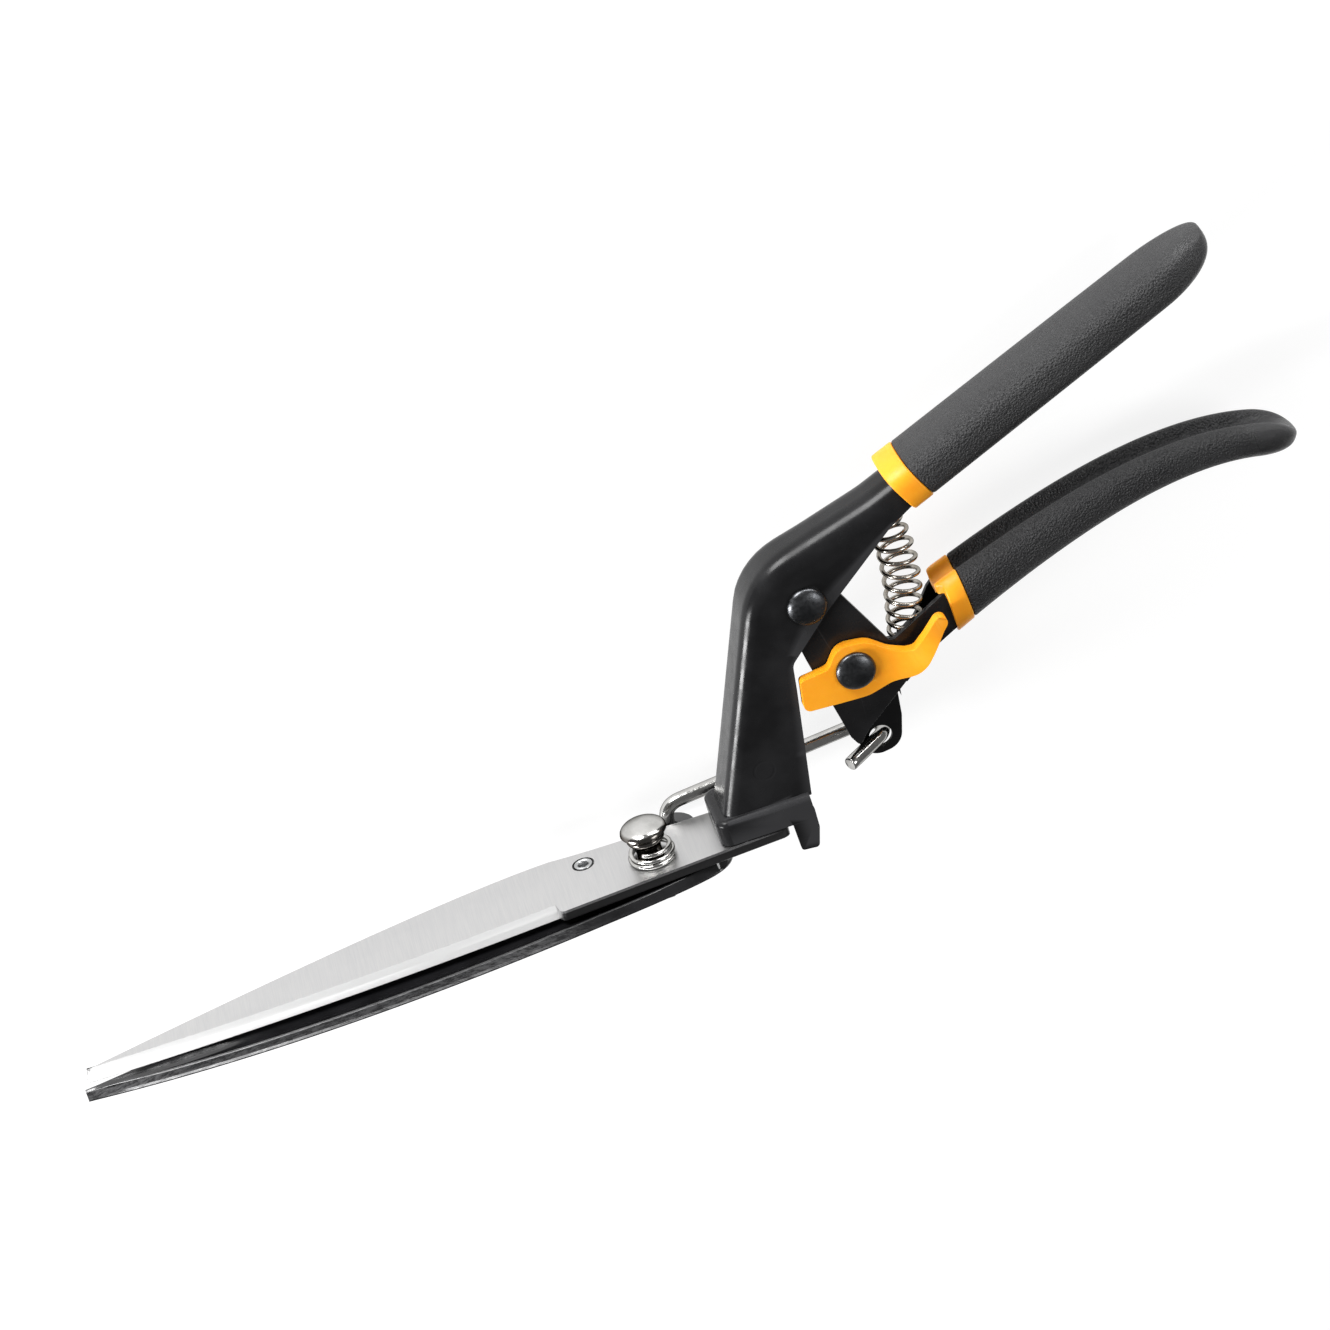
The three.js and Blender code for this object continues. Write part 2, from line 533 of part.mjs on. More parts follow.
function handleSpring() {
  const [x0, y0] = SPRING_FOOT, [x1, y1] = SPRING_HEAD;
  const centre = new THREE.CubicBezierCurve3(
    new THREE.Vector3(x0, y0, 0), new THREE.Vector3(x0 + 2.6, y0 + 13, 0),
    new THREE.Vector3(x1 + 4.6, y1 - 14, 0), new THREE.Vector3(x1, y1, 0),
  );
  return solid(wire(new Coil(centre, SPRING_R, SPRING_R, SPRING_TURNS), SPRING_WIRE, SPRING_TURNS * 14, 6));
}

// ---------- catch ------------------------------------------------------------------------------
function catchLever() {
  const side = outline([
    [47.6, 39.8, 1.3], [46.6, 31.0, 1.8], [56.4, 31.2, 8], [62.0, 30.6, 12],
    [68.6, 31.8, 6], [74.0, 30.6, 6], [80.6, 34.6, 8], [87.6, 41.6, 3], [87.0, 46.6, 2.0],
    [80.8, 44.6, 6], [73.4, 39.9, 6], [68.4, 41.4, 4], [64.6, 46.2, 4], [58.0, 46.6, 4], [54.8, 41.0, 3],
  ]);
  const body = solid(plateZ(side, CATCH_BASE, CATCH_BASE + CATCH_T, 3, 0.7, 2));
  return cut(body, solid(turnedZ(rodProfile(CATCH_SHAFT_R + FIT, 10), [...CATCH_C, 3], 20)));
}

function catchRivet() {
  const inside = LOWER_HALF - SHEET - 0.2, outside = CATCH_BASE + CATCH_T + 0.2;
  return solid(turnedZ([
    [0, inside - 1.4], [3.4, inside - 1.2], [4.0, inside - 0.6], [4.0, inside], [CATCH_SHAFT_R, inside],
    [CATCH_SHAFT_R, outside], [RIVET_HEAD_R, outside], [RIVET_HEAD_R, outside + 0.7],
    [4.4, outside + 1.5], [2.6, outside + 2.0], [0, outside + 2.2],
  ], [...CATCH_C, 0], 28));
}

// ---------- link rod ---------------------------------------------------------------------------
/** Rod centre line: leg down through the blade's tail, long run, and hook through the ear. */
function rodCurve() {
  const path = new THREE.CurvePath();
  const along = new THREE.Vector3(Math.cos(ROD_SLOPE), Math.sin(ROD_SLOPE), 0);
  const up = new THREE.Vector3(0, 0, 1);
  const at = (origin, a, b) => origin.clone().addScaledVector(along, a).addScaledVector(up, b);
  const centre = new THREE.Vector3(ROD_B[0], ROD_B[1], 0).addScaledVector(along, -HOOK_OFFSET);
  centre.z = ROD_Z + HOOK_R;
  const hookStart = at(centre, 0, -HOOK_R);
  const bendEnd = new THREE.Vector3(ROD_LEG[0], 0, ROD_Z).addScaledVector(along, 5);
  bendEnd.y = hookStart.y + (bendEnd.x - hookStart.x) * Math.tan(ROD_SLOPE);
  const corner = bendEnd.clone().addScaledVector(along, -5);
  const legTop = corner.clone().add(new THREE.Vector3(0, -5, 0));
  const legEnd = new THREE.Vector3(corner.x, LOWER_BOTTOM - 2.6, ROD_Z - 0.5);
  path.add(new THREE.LineCurve3(legEnd, legTop));
  path.add(new THREE.QuadraticBezierCurve3(legTop, corner, bendEnd));
  path.add(new THREE.LineCurve3(bendEnd, hookStart));
  const arc = (k) => at(centre, HOOK_R * Math.sin(k * HOOK_TURN), -HOOK_R * Math.cos(k * HOOK_TURN));
  const bends = Array.from({ length: 11 }, (_, k) => arc(k / 10));
  bends.slice(1).forEach((p, k) => path.add(new THREE.LineCurve3(bends[k], p)));
  const out = at(new THREE.Vector3(), Math.cos(HOOK_TURN), Math.sin(HOOK_TURN)).multiplyScalar(HOOK_STUB);
  path.add(new THREE.LineCurve3(bends[10], bends[10].clone().add(out)));
  return path;
}

/** The curve path as one smooth curve through evenly useful stations. */
function linkRod() {
  const path = rodCurve();
  const stations = path.curves.flatMap((c, i) => {
    const bend = c instanceof THREE.QuadraticBezierCurve3;
    const points = bend ? c.getPoints(6) : c.getPoints(1);
    return i === 0 ? points : points.slice(1);
  });
  class Stations extends THREE.Curve {
    getPoint(t, target = new THREE.Vector3()) {
      const k = Math.min(Math.floor(t * (stations.length - 1) + 1e-9), stations.length - 2);
      return target.lerpVectors(stations[k], stations[k + 1], t * (stations.length - 1) - k);
    }

    getPointAt(u, target) { return this.getPoint(u, target); }

    getTangentAt(u, target = new THREE.Vector3()) {
      const i = Math.round(u * (stations.length - 1));
      const a = stations[Math.max(0, i - 1)], b = stations[Math.min(stations.length - 1, i + 1)];
      return target.copy(b).sub(stations[i]).normalize()
        .add(new THREE.Vector3().copy(stations[i]).sub(a).normalize()).normalize();
    }
  }
  return solid(wire(new Stations(), ROD_R, stations.length - 1, 14));
}

// ---------- assembly ---------------------------------------------------------------------------
const shears = new THREE.Group();
shears.name = 'grass_shears';
const frame = new THREE.Group();
frame.position.set(FRAME_SHIFT.x, FRAME_SHIFT.y, FRAME_SHIFT.z);
shears.add(frame);

function place(name, body, [color, roughness, metalness]) {
  const { numProp, vertProperties, triVerts } = body.getMesh();
  const g = new THREE.BufferGeometry();
  if (numProp !== 3) throw new Error(`${name}: unexpected vertex layout`);
  g.setAttribute('position', new THREE.BufferAttribute(Float32Array.from(vertProperties), 3));
  g.setIndex([...triVerts]);
  g.computeVertexNormals();
  const mesh = new THREE.Mesh(g, new THREE.MeshStandardMaterial({ color, roughness, metalness }));
  mesh.name = name;
  frame.add(mesh);
}

place('upper_handle_channel', upperHandleChannel(), BLACK_PAINT);
place('upper_grip', upperGrip(), PVC_UPPER);
place('upper_grip_collar', upperGripCollar(), ORANGE);
place('handle_pivot_rivet', handlePivotRivet(), GUNMETAL);
place('upper_blade', upperBlade(), STEEL_GROUND);
place('blade_bearing_pin', bearingPin(), ZINC);
TANG_RIVETS.forEach((x, i) => place(`tang_rivet_${i + 1}`, tangRivet(x), ZINC));
place('pivot_stud', pivotStud(), CHROME);
place('stud_spring', studSpring(), CHROME);
place('stud_washer', studWasher(), ZINC);
place('stud_nut', studNut(), ZINC);
place('upper_spring_seat', upperSpringSeat(), STAINLESS);
place('lower_blade', lowerBlade(), COATED);
place('lower_handle_channel', lowerHandleChannel(), BLACK_PAINT);
place('lower_grip', lowerGrip(), PVC_LOWER);
place('lower_grip_collar', lowerGripCollar(), ORANGE);
place('pivot_bush', pivotBush(), ZINC);
place('catch_rivet', catchRivet(), GUNMETAL);
place('lower_spring_seat', lowerSpringSeat(), STAINLESS);
place('catch_lever', catchLever(), ORANGE);
place('link_rod', linkRod(), CHROME);
place('handle_spring', handleSpring(), STAINLESS);

export default shears;
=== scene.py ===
import json
import math

import bmesh
import bpy
import numpy as np
from mathutils import Matrix, Vector


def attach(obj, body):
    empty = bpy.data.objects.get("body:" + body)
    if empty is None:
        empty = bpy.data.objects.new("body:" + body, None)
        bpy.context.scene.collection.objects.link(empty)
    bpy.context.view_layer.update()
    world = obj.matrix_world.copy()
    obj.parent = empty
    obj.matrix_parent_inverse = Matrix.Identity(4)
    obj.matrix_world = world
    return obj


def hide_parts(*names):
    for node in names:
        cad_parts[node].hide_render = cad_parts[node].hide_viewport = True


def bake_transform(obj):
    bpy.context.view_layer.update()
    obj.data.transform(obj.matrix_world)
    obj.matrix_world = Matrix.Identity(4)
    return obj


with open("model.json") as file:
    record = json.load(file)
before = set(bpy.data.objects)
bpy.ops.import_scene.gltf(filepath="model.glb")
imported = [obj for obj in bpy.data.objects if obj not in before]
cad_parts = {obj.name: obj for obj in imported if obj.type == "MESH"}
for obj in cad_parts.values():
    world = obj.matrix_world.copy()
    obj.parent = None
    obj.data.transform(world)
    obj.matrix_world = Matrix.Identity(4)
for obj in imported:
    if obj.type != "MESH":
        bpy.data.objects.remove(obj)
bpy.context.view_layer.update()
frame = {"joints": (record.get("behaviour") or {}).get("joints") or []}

MM = 0.001
JOINTS = {j["name"]: j for j in frame["joints"]}
HANDLE_PIVOT = (54.2, 59.7)
ORIGIN = Vector(JOINTS["handle_squeeze"]["pos_m"]) - Vector((*HANDLE_PIVOT, 0.0)) * MM


def at(x, y, z=0.0):
    """A point of the tool's own millimetre axes, in the row frame."""
    return ORIGIN + Vector((x, y, z)) * MM


def joint_mm(name):
    """Where a joint is, in the tool's own millimetre axes."""
    return (Vector(JOINTS[name]["pos_m"]) - ORIGIN) / MM


CATCH_PIVOT = joint_mm("catch_release")
ROD_HOLE = joint_mm("link_pivot")
STUD = joint_mm("blade_swing")

SHEET = 1.4                 # pressed handle sheet
UPPER_HALF = 7.9            # upper handle, outside half width
LOWER_HALF = 6.2            # lower handle, outside half width
FOOT_HALF = 9.7
FOOT_FRONT, FOOT_REAR, FOOT_TOP = 16.4, 42.0, 7.3
GRIP_FROM, GRIP_ANGLE, GRIP_LENGTH = (84.2, 81.0), math.radians(22.7), 98.0
COLLAR = 6.0                # collar width along the grip
GAP = 0.3
BLADE_T, LOWER_T = 2.8, 3.0
LOWER_TOP = -BLADE_T - GAP
LOW_FACE = LOWER_TOP - LOWER_T
STUD_BORE, TAIL_BORE, PIN_BORE = 3.7, 2.9, 2.6
TAIL_HOLE = (5.8, -13.95)
PIN_PLACE = (-18.7, 0, -5.4)
NOTCH = -29.0               # where the upper blade's ground bevel ends


# ---------- outlines and curves -----------------------------------------------------------------
def corner_arc(before, corner, after, radius):
    """Points of the arc that rounds one corner of an outline."""
    p = Vector(corner)
    a, b = (Vector(before) - p).normalized(), (Vector(after) - p).normalized()
    half = a.angle(b) / 2
    centre = p + (a + b).normalized() * (radius / math.sin(half))
    start, end = p + a * (radius / math.tan(half)), p + b * (radius / math.tan(half))
    a0 = math.atan2(start.y - centre.y, start.x - centre.x)
    a1 = math.atan2(end.y - centre.y, end.x - centre.x)
    sweep = (a1 - a0 + math.pi) % (2 * math.pi) - math.pi
    steps = max(3, math.ceil(abs(sweep) / math.radians(9)))
    angles = [a0 + sweep * k / steps for k in range(steps + 1)]
    return [(centre.x + radius * math.cos(t), centre.y + radius * math.sin(t)) for t in angles]


def rounded(corners, closed=True):
    """Outline through (x, y) or (x, y, radius) corners."""
    out, n = [], len(corners)
    for i, c in enumerate(corners):
        end = not closed and i in (0, n - 1)
        if len(c) == 2 or c[2] == 0 or end:
            out.append(tuple(c[:2]))
        else:
            out += corner_arc(corners[i - 1][:2], c[:2], corners[(i + 1) % n][:2], c[2])
    return out


def bezier(points, n):
    """n + 1 points along a quadratic or cubic Bezier curve."""
    p = [np.array(q, float) for q in points]
    t = np.linspace(0, 1, n + 1)[:, None]
    if len(p) == 3:
        c = (1 - t) ** 2 * p[0] + 2 * t * (1 - t) * p[1] + t**2 * p[2]
    else:
        c = (1 - t) ** 3 * p[0] + 3 * t * (1 - t) ** 2 * p[1] + 3 * t**2 * (1 - t) * p[2] + t**3 * p[3]
    return [tuple(q) for q in c]


class Line:
    """A polyline measured by length along it."""

    def __init__(self, points):
        self.p = np.array(points, float)
        self.s = np.concatenate([[0], np.cumsum(np.linalg.norm(np.diff(self.p, axis=0), axis=1))])
        self.length = self.s[-1]

    def at(self, s):
        return np.array([np.interp(s, self.s, self.p[:, k]) for k in range(self.p.shape[1])])

    def along(self, s):
        """Unit direction of the line at s."""
        reach = 0.6
        d = self.at(min(s + reach, self.length)) - self.at(max(s - reach, 0.0))
        return d / np.linalg.norm(d)

    def nearest(self, point):
        """Length along the line where it passes closest to point."""
        fine = np.linspace(0, self.length, 1200)
        q = np.array([self.at(s) for s in fine])
        return fine[np.argmin(np.linalg.norm(q - np.array(point), axis=1))]


# ---------- mesh making ---------------------------------------------------------------------------
def new_piece(name, verts, faces):
    """A mesh object from points in the tool's own axes."""
    mesh = bpy.data.meshes.new(name)
    mesh.from_pydata([at(*v) for v in verts], [], faces)
    obj = bpy.data.objects.new(name, mesh)
    bpy.context.scene.collection.objects.link(obj)
    tidy(obj)
    return obj


def tidy(obj, weld=1e-6, flat=False):
    """Welds doubled points, turns every face outwards and, if flat, joins coplanar faces."""
    bm = bmesh.new()
    bm.from_mesh(obj.data)
    bmesh.ops.remove_doubles(bm, verts=bm.verts, dist=weld)
    if flat:
        bmesh.ops.dissolve_limit(bm, angle_limit=math.radians(0.4), verts=bm.verts, edges=bm.edges)
    bmesh.ops.recalc_face_normals(bm, faces=bm.faces)
    bm.to_mesh(obj.data)
    bm.free()


def bake(obj):
    """Applies the object's modifiers."""
    graph = bpy.context.evaluated_depsgraph_get()
    old = obj.data
    mesh = bpy.data.meshes.new_from_object(obj.evaluated_get(graph))
    obj.modifiers.clear()
    obj.data = mesh
    mesh.name = obj.name
    bpy.data.meshes.remove(old)


def drop(obj):
    mesh = obj.data
    bpy.data.objects.remove(obj)
    bpy.data.meshes.remove(mesh)


def combine(obj, others, how):
    """Joins or cuts closed solids."""
    for other in others:
        m = obj.modifiers.new("solid", "BOOLEAN")
        m.operation, m.solver, m.object = how, "EXACT", other
        bake(obj)
        drop(other)
    return obj


def cut(obj, *others):
    return combine(obj, others, "DIFFERENCE")


def join(obj, *others):
    return combine(obj, others, "UNION")


def shade(obj, angle=38):
    """Smooth shading that breaks at edges sharper than angle."""
    obj.data.polygons.foreach_set("use_smooth", [True] * len(obj.data.polygons))
    obj.data.set_sharp_from_angle(angle=math.radians(angle))
    return obj


def soften(obj, width, segments=3, angle=40, flat=True):
    """Rounds the edges sharper than angle by width millimetres."""
    tidy(obj, weld=2e-6, flat=flat)
    b = obj.modifiers.new("rims", "BEVEL")
    b.width, b.segments, b.limit_method, b.angle_limit = width * MM, segments, "ANGLE", math.radians(angle)
    b.use_clamp_overlap, b.miter_outer = True, "MITER_ARC"
    bake(obj)
    shade(obj, 50)
    w = obj.modifiers.new("shading", "WEIGHTED_NORMAL")
    w.keep_sharp, w.weight = True, 80
    return obj


def prism(name, outline, low, high, axis="z"):
    """Closed prism on an (x, y) outline, or on an (x, z) one for axis y."""
    place = (lambda a, b, h: (a, b, h)) if axis == "z" else (lambda a, b, h: (a, h, b))
    n = len(outline)
    verts = [place(a, b, low) for a, b in outline] + [place(a, b, high) for a, b in outline]
    faces = [list(range(n)), list(range(2 * n - 1, n - 1, -1))]
    faces += [[i, (i + 1) % n, n + (i + 1) % n, n + i] for i in range(n)]
    return new_piece(name, verts, faces)


def loft(name, rings, closed=False):
    """Skin through rings of points; closed joins the last ring to the first."""
    n, k = len(rings[0]), len(rings)
    verts = [p for ring in rings for p in ring]
    faces = []
    for i in range(k if closed else k - 1):
        a, b = i * n, ((i + 1) % k) * n
        faces += [[a + j, a + (j + 1) % n, b + (j + 1) % n, b + j] for j in range(n)]
    if not closed:
        faces += [list(range(n)), list(range((k - 1) * n, k * n))]
    return shade(new_piece(name, verts, faces))


def turned(name, profile, centre, axis="y", sides=64):
    """Turned solid from (radius, height) points about an axis through centre."""
    cx, cy, cz = centre
    rings = []
    for r, h in profile:
        ring = []
        for k in range(sides):
            t = 2 * math.pi * k / sides
            a, b = max(r, 1e-4) * math.cos(t), max(r, 1e-4) * math.sin(t)
            ring.append((cx + a, cy + h, cz + b) if axis == "y" else (cx + a, cy + b, cz + h))
        rings.append(ring)
    closed = profile[0] == profile[-1]
    return loft(name, rings[:-1] if closed else rings, closed=closed)


def hole(name, centre, radius, low, high, axis="y", sides=64):
    return turned(name, [(0, low), (radius, low), (radius, high), (0, high)], centre, axis, sides)


def wire(name, points, radius, sides, end_round):
    """Round bar along points, its ends slightly rounded."""
    p = np.array(points, float)
    tangents = np.gradient(p, axis=0)
    tangents /= np.linalg.norm(tangents, axis=1)[:, None]
    side = np.cross(tangents[0], [0.3, 0.5, 0.8])
    quarter = [math.radians(a) for a in (0, 25, 50, 75)]
    stops = [(p[0], tangents[0], 1, a) for a in quarter]
    stops += [(c, t, 0, math.pi / 2) for c, t in zip(p[1:-1], tangents[1:-1])]
    stops += [(p[-1], tangents[-1], -1, a) for a in reversed(quarter)]
    rings = []
    for centre, t, inward, a in stops:
        side = side - t * (side @ t)
        side /= np.linalg.norm(side)
        other = np.cross(t, side)
        r = radius - end_round * (1 - math.sin(a))
        c = centre + t * inward * end_round * (1 - math.cos(a))
        angles = [2 * math.pi * k / sides for k in range(sides)]
        rings.append([tuple(c + r * (side * math.cos(w) + other * math.sin(w))) for w in angles])
    return loft(name, rings)


def dome(radius, low, height, lip=0.5):
    """Profile of a domed head standing on height low, with a short upright lip."""
    reach, steps = height - lip, 12
    arc = [math.radians(90 * k / steps) for k in range(steps + 1)]
    return [(radius * math.cos(a), low + lip + reach * math.sin(a)) for a in arc]


# ---------- handles -------------------------------------------------------------------------------
def grip_point(along, above):
    """Point along the upper grip's axis and above it."""
    c, s = math.cos(GRIP_ANGLE), math.sin(GRIP_ANGLE)
    return GRIP_FROM[0] + along * c - above * s, GRIP_FROM[1] + along * s + above * c


def u_section(back, inward, free, half, radius):
    """Outer and inner line of a U-shaped sheet at one station, as one closed ring."""
    arm_points = 5

    def side_line(inset):
        r, h = max(radius - inset, 0.4), half - inset
        start = back + inward * inset
        flat = start + inward * r
        arm = [(*(free + (flat - free) * k / arm_points), h) for k in range(arm_points)]
        turn = [math.radians(90 * k / 8) for k in range(9)]
        arc = [(*(start + inward * r * (1 - math.sin(a))), h - r + r * math.cos(a)) for a in turn]
        web = [(*start, (h - r) * (1 - k / 3)) for k in (1, 2)]
        return arm + arc + web

    outer, inner = side_line(0.0), side_line(SHEET)
    mirrored = [(x, y, -z) for x, y, z in reversed(outer)]
    inner_back = [(x, y, -z) for x, y, z in inner]
    return outer + [(*back, 0.0)] + mirrored + inner_back + [(*(back + inward * SHEET), 0.0)] + inner[::-1]


def upper_leg_and_neck():
    """The leg, the bend and the neck as one swept U of sheet, with its own line for the free edges."""
    neck_end = 26
    back = Line(rounded([(18.65, 6.3), (41.4, 71.2, 21), (*grip_point(-8, 3.6), 30),
                         grip_point(neck_end, 3.4)], closed=False))
    free = Line(rounded([(42.4, 6.3), (46.1, 37.4), (46.8, 44.6, 3), (59.0, 56.4), (79.6, 73.4, 6),
                         (*grip_point(2, -4.0), 6), grip_point(neck_end, -3.6)], closed=False))
    pairs = [((27.6, 33.0), (46.1, 37.4)), ((31.6, 43.0), (46.8, 44.6)), ((44.6, 70.2), (59.0, 56.4)),
             ((75.0, 81.0), (79.6, 73.4)), (grip_point(2, 3.5), grip_point(2, -4.0))]
    back_keys = [0.0] + [back.nearest(b) for b, _ in pairs] + [back.length]
    free_keys = [0.0] + [free.nearest(f) for _, f in pairs] + [free.length]
    rings = []
    for s in np.linspace(0, back.length, 120):
        t = back.along(s)
        inward = np.array([t[1], -t[0]])
        radius = np.interp(s, [0, 62, 85, back.length], [3.4, 3.8, 5.6, 5.8])
        edge = free.at(np.interp(s, back_keys, free_keys))
        rings.append(u_section(back.at(s), inward, edge, UPPER_HALF, radius))
    return loft("upper_handle_channel", rings)


def foot_plan(inset, rear):
    z, r = FOOT_HALF - inset, 3.2 - inset
    return rounded([(FOOT_FRONT + inset, -z, r), (rear, -z), (rear, z), (FOOT_FRONT + inset, z, r)])


def foot_box(name, inset, low, top, rear, round_top):
    """Rounded box on the foot's plan, its top rim a quarter round."""
    arc = [math.radians(90 * k / 6) for k in range(7)]
    levels = [(inset, low)] + [(inset + round_top * (1 - math.cos(a)), top - round_top * (1 - math.sin(a)))
                               for a in arc]
    return loft(name, [[(x, y, z) for x, z in foot_plan(i, rear)] for i, y in levels])


def pressed_foot():
    leg_room = UPPER_HALF - SHEET
    foot = foot_box("foot", 0.0, GAP, FOOT_TOP, FOOT_REAR + 4, 1.6)
    cut(foot,
        foot_box("foot_hollow", SHEET, -1.0, FOOT_TOP - SHEET, FOOT_REAR + 6, 0.6),
        prism("foot_rear", [(FOOT_REAR, -2), (60, -2), (60, 12), (FOOT_REAR - 0.5, 12)], -14, 14),
        prism("leg_room", [(20.1, 3.0), (60, 3.0), (60, 12), (22.2, 12)], -leg_room, leg_room))
    floor = prism("foot_floor", foot_plan(0.8, 33.4), GAP, GAP + SHEET, axis="y")
    tab = rounded([(34.6, 3.0), (35.5, 0.4, 0.9), (36.0, -7.9, 0.9), (40.6, -8.4, 1.0), (42.0, -2.6, 1.6),
                   (42.0, 3.0)])
    tabs = [prism("tab", tab, *sorted((side * FOOT_HALF, side * (FOOT_HALF - SHEET)))) for side in (-1, 1)]
    return join(foot, floor, *tabs)


def upper_handle():
    return soften(join(upper_leg_and_neck(), pressed_foot()), 0.35, angle=50, flat=False)


GRIP_TOP = [(88.6, 49.4), (118, 59.0), (146, 68.6), (164, 66.4)]
GRIP_BASE = [(164, 63.4), (148, 65.4), (120, 53.0), (88.8, 38.2)]


def lower_handle():
    """Flanges and back web of the lower handle, cut from one outline as the sheet is."""
    top, base = bezier(GRIP_TOP, 20), bezier(GRIP_BASE, 20)
    side = rounded([(47.0, 62.6, 3), (51.6, 67.6, 7), (59.2, 67.0, 6), (72.6, 40.9, 1.6), *top, *base,
                    (84.2, 35.8, 4), (72.9, 27.4, 5), (71.9, 12.6, 6), (70.0, 4.0, 5), (61.4, 3.0, 5),
                    (57.6, 12.0), (55.0, 24.0), (50.6, 43.5)])
    lifted = [(x, y + SHEET) for x, y in reversed(base)]
    inside = rounded([(40, -5), (78, -5), (72.0, 23.0), (68.6, 26.6), (72.8, 30.1), (83.2, 37.3),
                      *lifted, (185, 62), (185, 95), (40, 95)])
    near = rounded([(80, 20), (73.9, 28.4), (61.4, 18.3, 2), (58.1, 14.4, 0.8), (55.9, 18.6), (50, 18.6),
                    (50, -5), (80, -5)])
    far = rounded([(60.6, 70), (60.6, 60.4, 3), (72.6, 33.6, 4), (81.6, 39.6, 4), (86.4, 46.6, 2),
                   (92.0, 51.6), (92, 70)])
    inner = LOWER_HALF - SHEET
    body = prism("lower_handle_channel", side, -LOWER_HALF, LOWER_HALF)
    cut(body,
        prism("inside", inside, -inner, inner),
        prism("near_end", near, 0, 10),
        prism("far_edge", far, -10, 0),
        hole("rivet_hole", (*HANDLE_PIVOT, 0), 3.2, -12, 12, axis="z"),
        hole("catch_hole", (CATCH_PIVOT.x, CATCH_PIVOT.y, 0), 2.6, 0, 12, axis="z"),
        hole("rod_hole", (ROD_HOLE.x + 0.4, ROD_HOLE.y, 0), 3.1, -12, 0, axis="z"))
    return soften(body, 0.3)


# ---------- sleeves and collars -------------------------------------------------------------------
SQUARENESS = 0.68
SLEEVE_SIDES = 88


def squircle(t, depth, width):
    c, s = math.cos(t), math.sin(t)
    return depth * math.copysign(abs(c) ** SQUARENESS, c), width * math.copysign(abs(s) ** SQUARENESS, s)


def section_ring(axis, s, depth, width, rake=0.0, shift=0.0, groove=0.0, lead=lambda n, w: 0.0):
    """Rounded-square ring round an axis, with an optional groove along its open side."""
    centre, t = axis.at(s), axis.along(s)
    ring = []
    for k in range(SLEEVE_SIDES):
        n, w = squircle(2 * math.pi * k / SLEEVE_SIDES, depth, width)
        if n > 0:
            n -= groove * math.exp(-((w / 3.0) ** 4)) * min(1.0, n / depth * 1.4)
        f = rake * n + lead(n, w)
        x = centre[0] + t[0] * f - t[1] * (n + shift)
        y = centre[1] + t[1] * f + t[0] * (n + shift)
        ring.append((x, y, w))
    return ring


UPPER_AXIS = Line([grip_point(0, 0), grip_point(GRIP_LENGTH, 0)])
LOWER_AXIS = Line(bezier([(88.7, 44.2), (120, 57.7), (161, 72.0), (186.6, 57.6)], 80))


def upper_size(s):
    u = s / UPPER_AXIS.length
    return 6.8 - 0.3 * u - 0.5 * u**4, 9.6 - 0.5 * u


def lower_size(s):
    u = s / LOWER_AXIS.length
    return 7.7 - 3.2 * u, 8.1 - 0.7 * u


def upper_rake(s):
    return -0.11 * max(0.0, 1 - 3 * s / UPPER_AXIS.length)


def lower_rake(s):
    return 0.34 * max(0.0, 1 - 3 * s / LOWER_AXIS.length)


def lower_groove(s):
    """Depth of the groove between the two flanges under the lower sleeve."""
    u = s / LOWER_AXIS.length
    return 3.5 * min(1.0, (1 - u) / 0.16) if u < 1 else 0.0


def upper_grip():
    """Dipped sleeve with a closed end that leans towards its top side."""
    start, length, dome_l = COLLAR + 0.12, UPPER_AXIS.length, 18.0
    rings = []
    for inset, back in ((1.6, 0.0), (0.5, 0.0), (0.12, 0.12), (0.0, 0.5)):
        d, w = upper_size(start)
        rings.append(section_ring(UPPER_AXIS, start + back, d - inset, w - inset, upper_rake(start)))
    for s in np.linspace(start + 1.5, length - dome_l, 46):
        d, w = upper_size(s)
        rings.append(section_ring(UPPER_AXIS, s, d, w, upper_rake(s)))
    for k in range(1, 21):
        a = math.pi / 2 * k / 20
        f = max(math.cos(a) ** 0.74, 0.012)
        s = length - dome_l + dome_l * math.sin(a)
        d, w = upper_size(s)
        rings.append(section_ring(UPPER_AXIS, s, d * f, w * f ** 0.9, shift=3.6 * (1 - f) ** 1.15))
    return loft("upper_grip", rings)


def lower_grip():
    """Curved dipped sleeve, grooved along its open side, with a closed drooping end."""
    start, length, dome_l = COLLAR + 0.12, LOWER_AXIS.length, 11.0
    rings = []
    for inset, back in ((1.6, 0.0), (0.5, 0.0), (0.12, 0.12), (0.0, 0.5)):
        d, w = lower_size(start)
        rings.append(section_ring(LOWER_AXIS, start + back, d - inset, w - inset, lower_rake(start),
                                  groove=2.6))
    for s in np.linspace(start + 1.5, length - dome_l, 60):
        d, w = lower_size(s)
        rings.append(section_ring(LOWER_AXIS, s, d, w, lower_rake(s), groove=lower_groove(s)))
    for k in range(1, 19):
        a = math.pi / 2 * k / 18
        f = max(math.cos(a) ** 0.85, 0.012)
        s = length - dome_l + dome_l * math.sin(a)
        d, w = lower_size(s)
        rings.append(section_ring(LOWER_AXIS, s, d * f, w * f, shift=0.5 * (1 - f),
                                  groove=lower_groove(s) * f))
    return loft("lower_grip", rings)


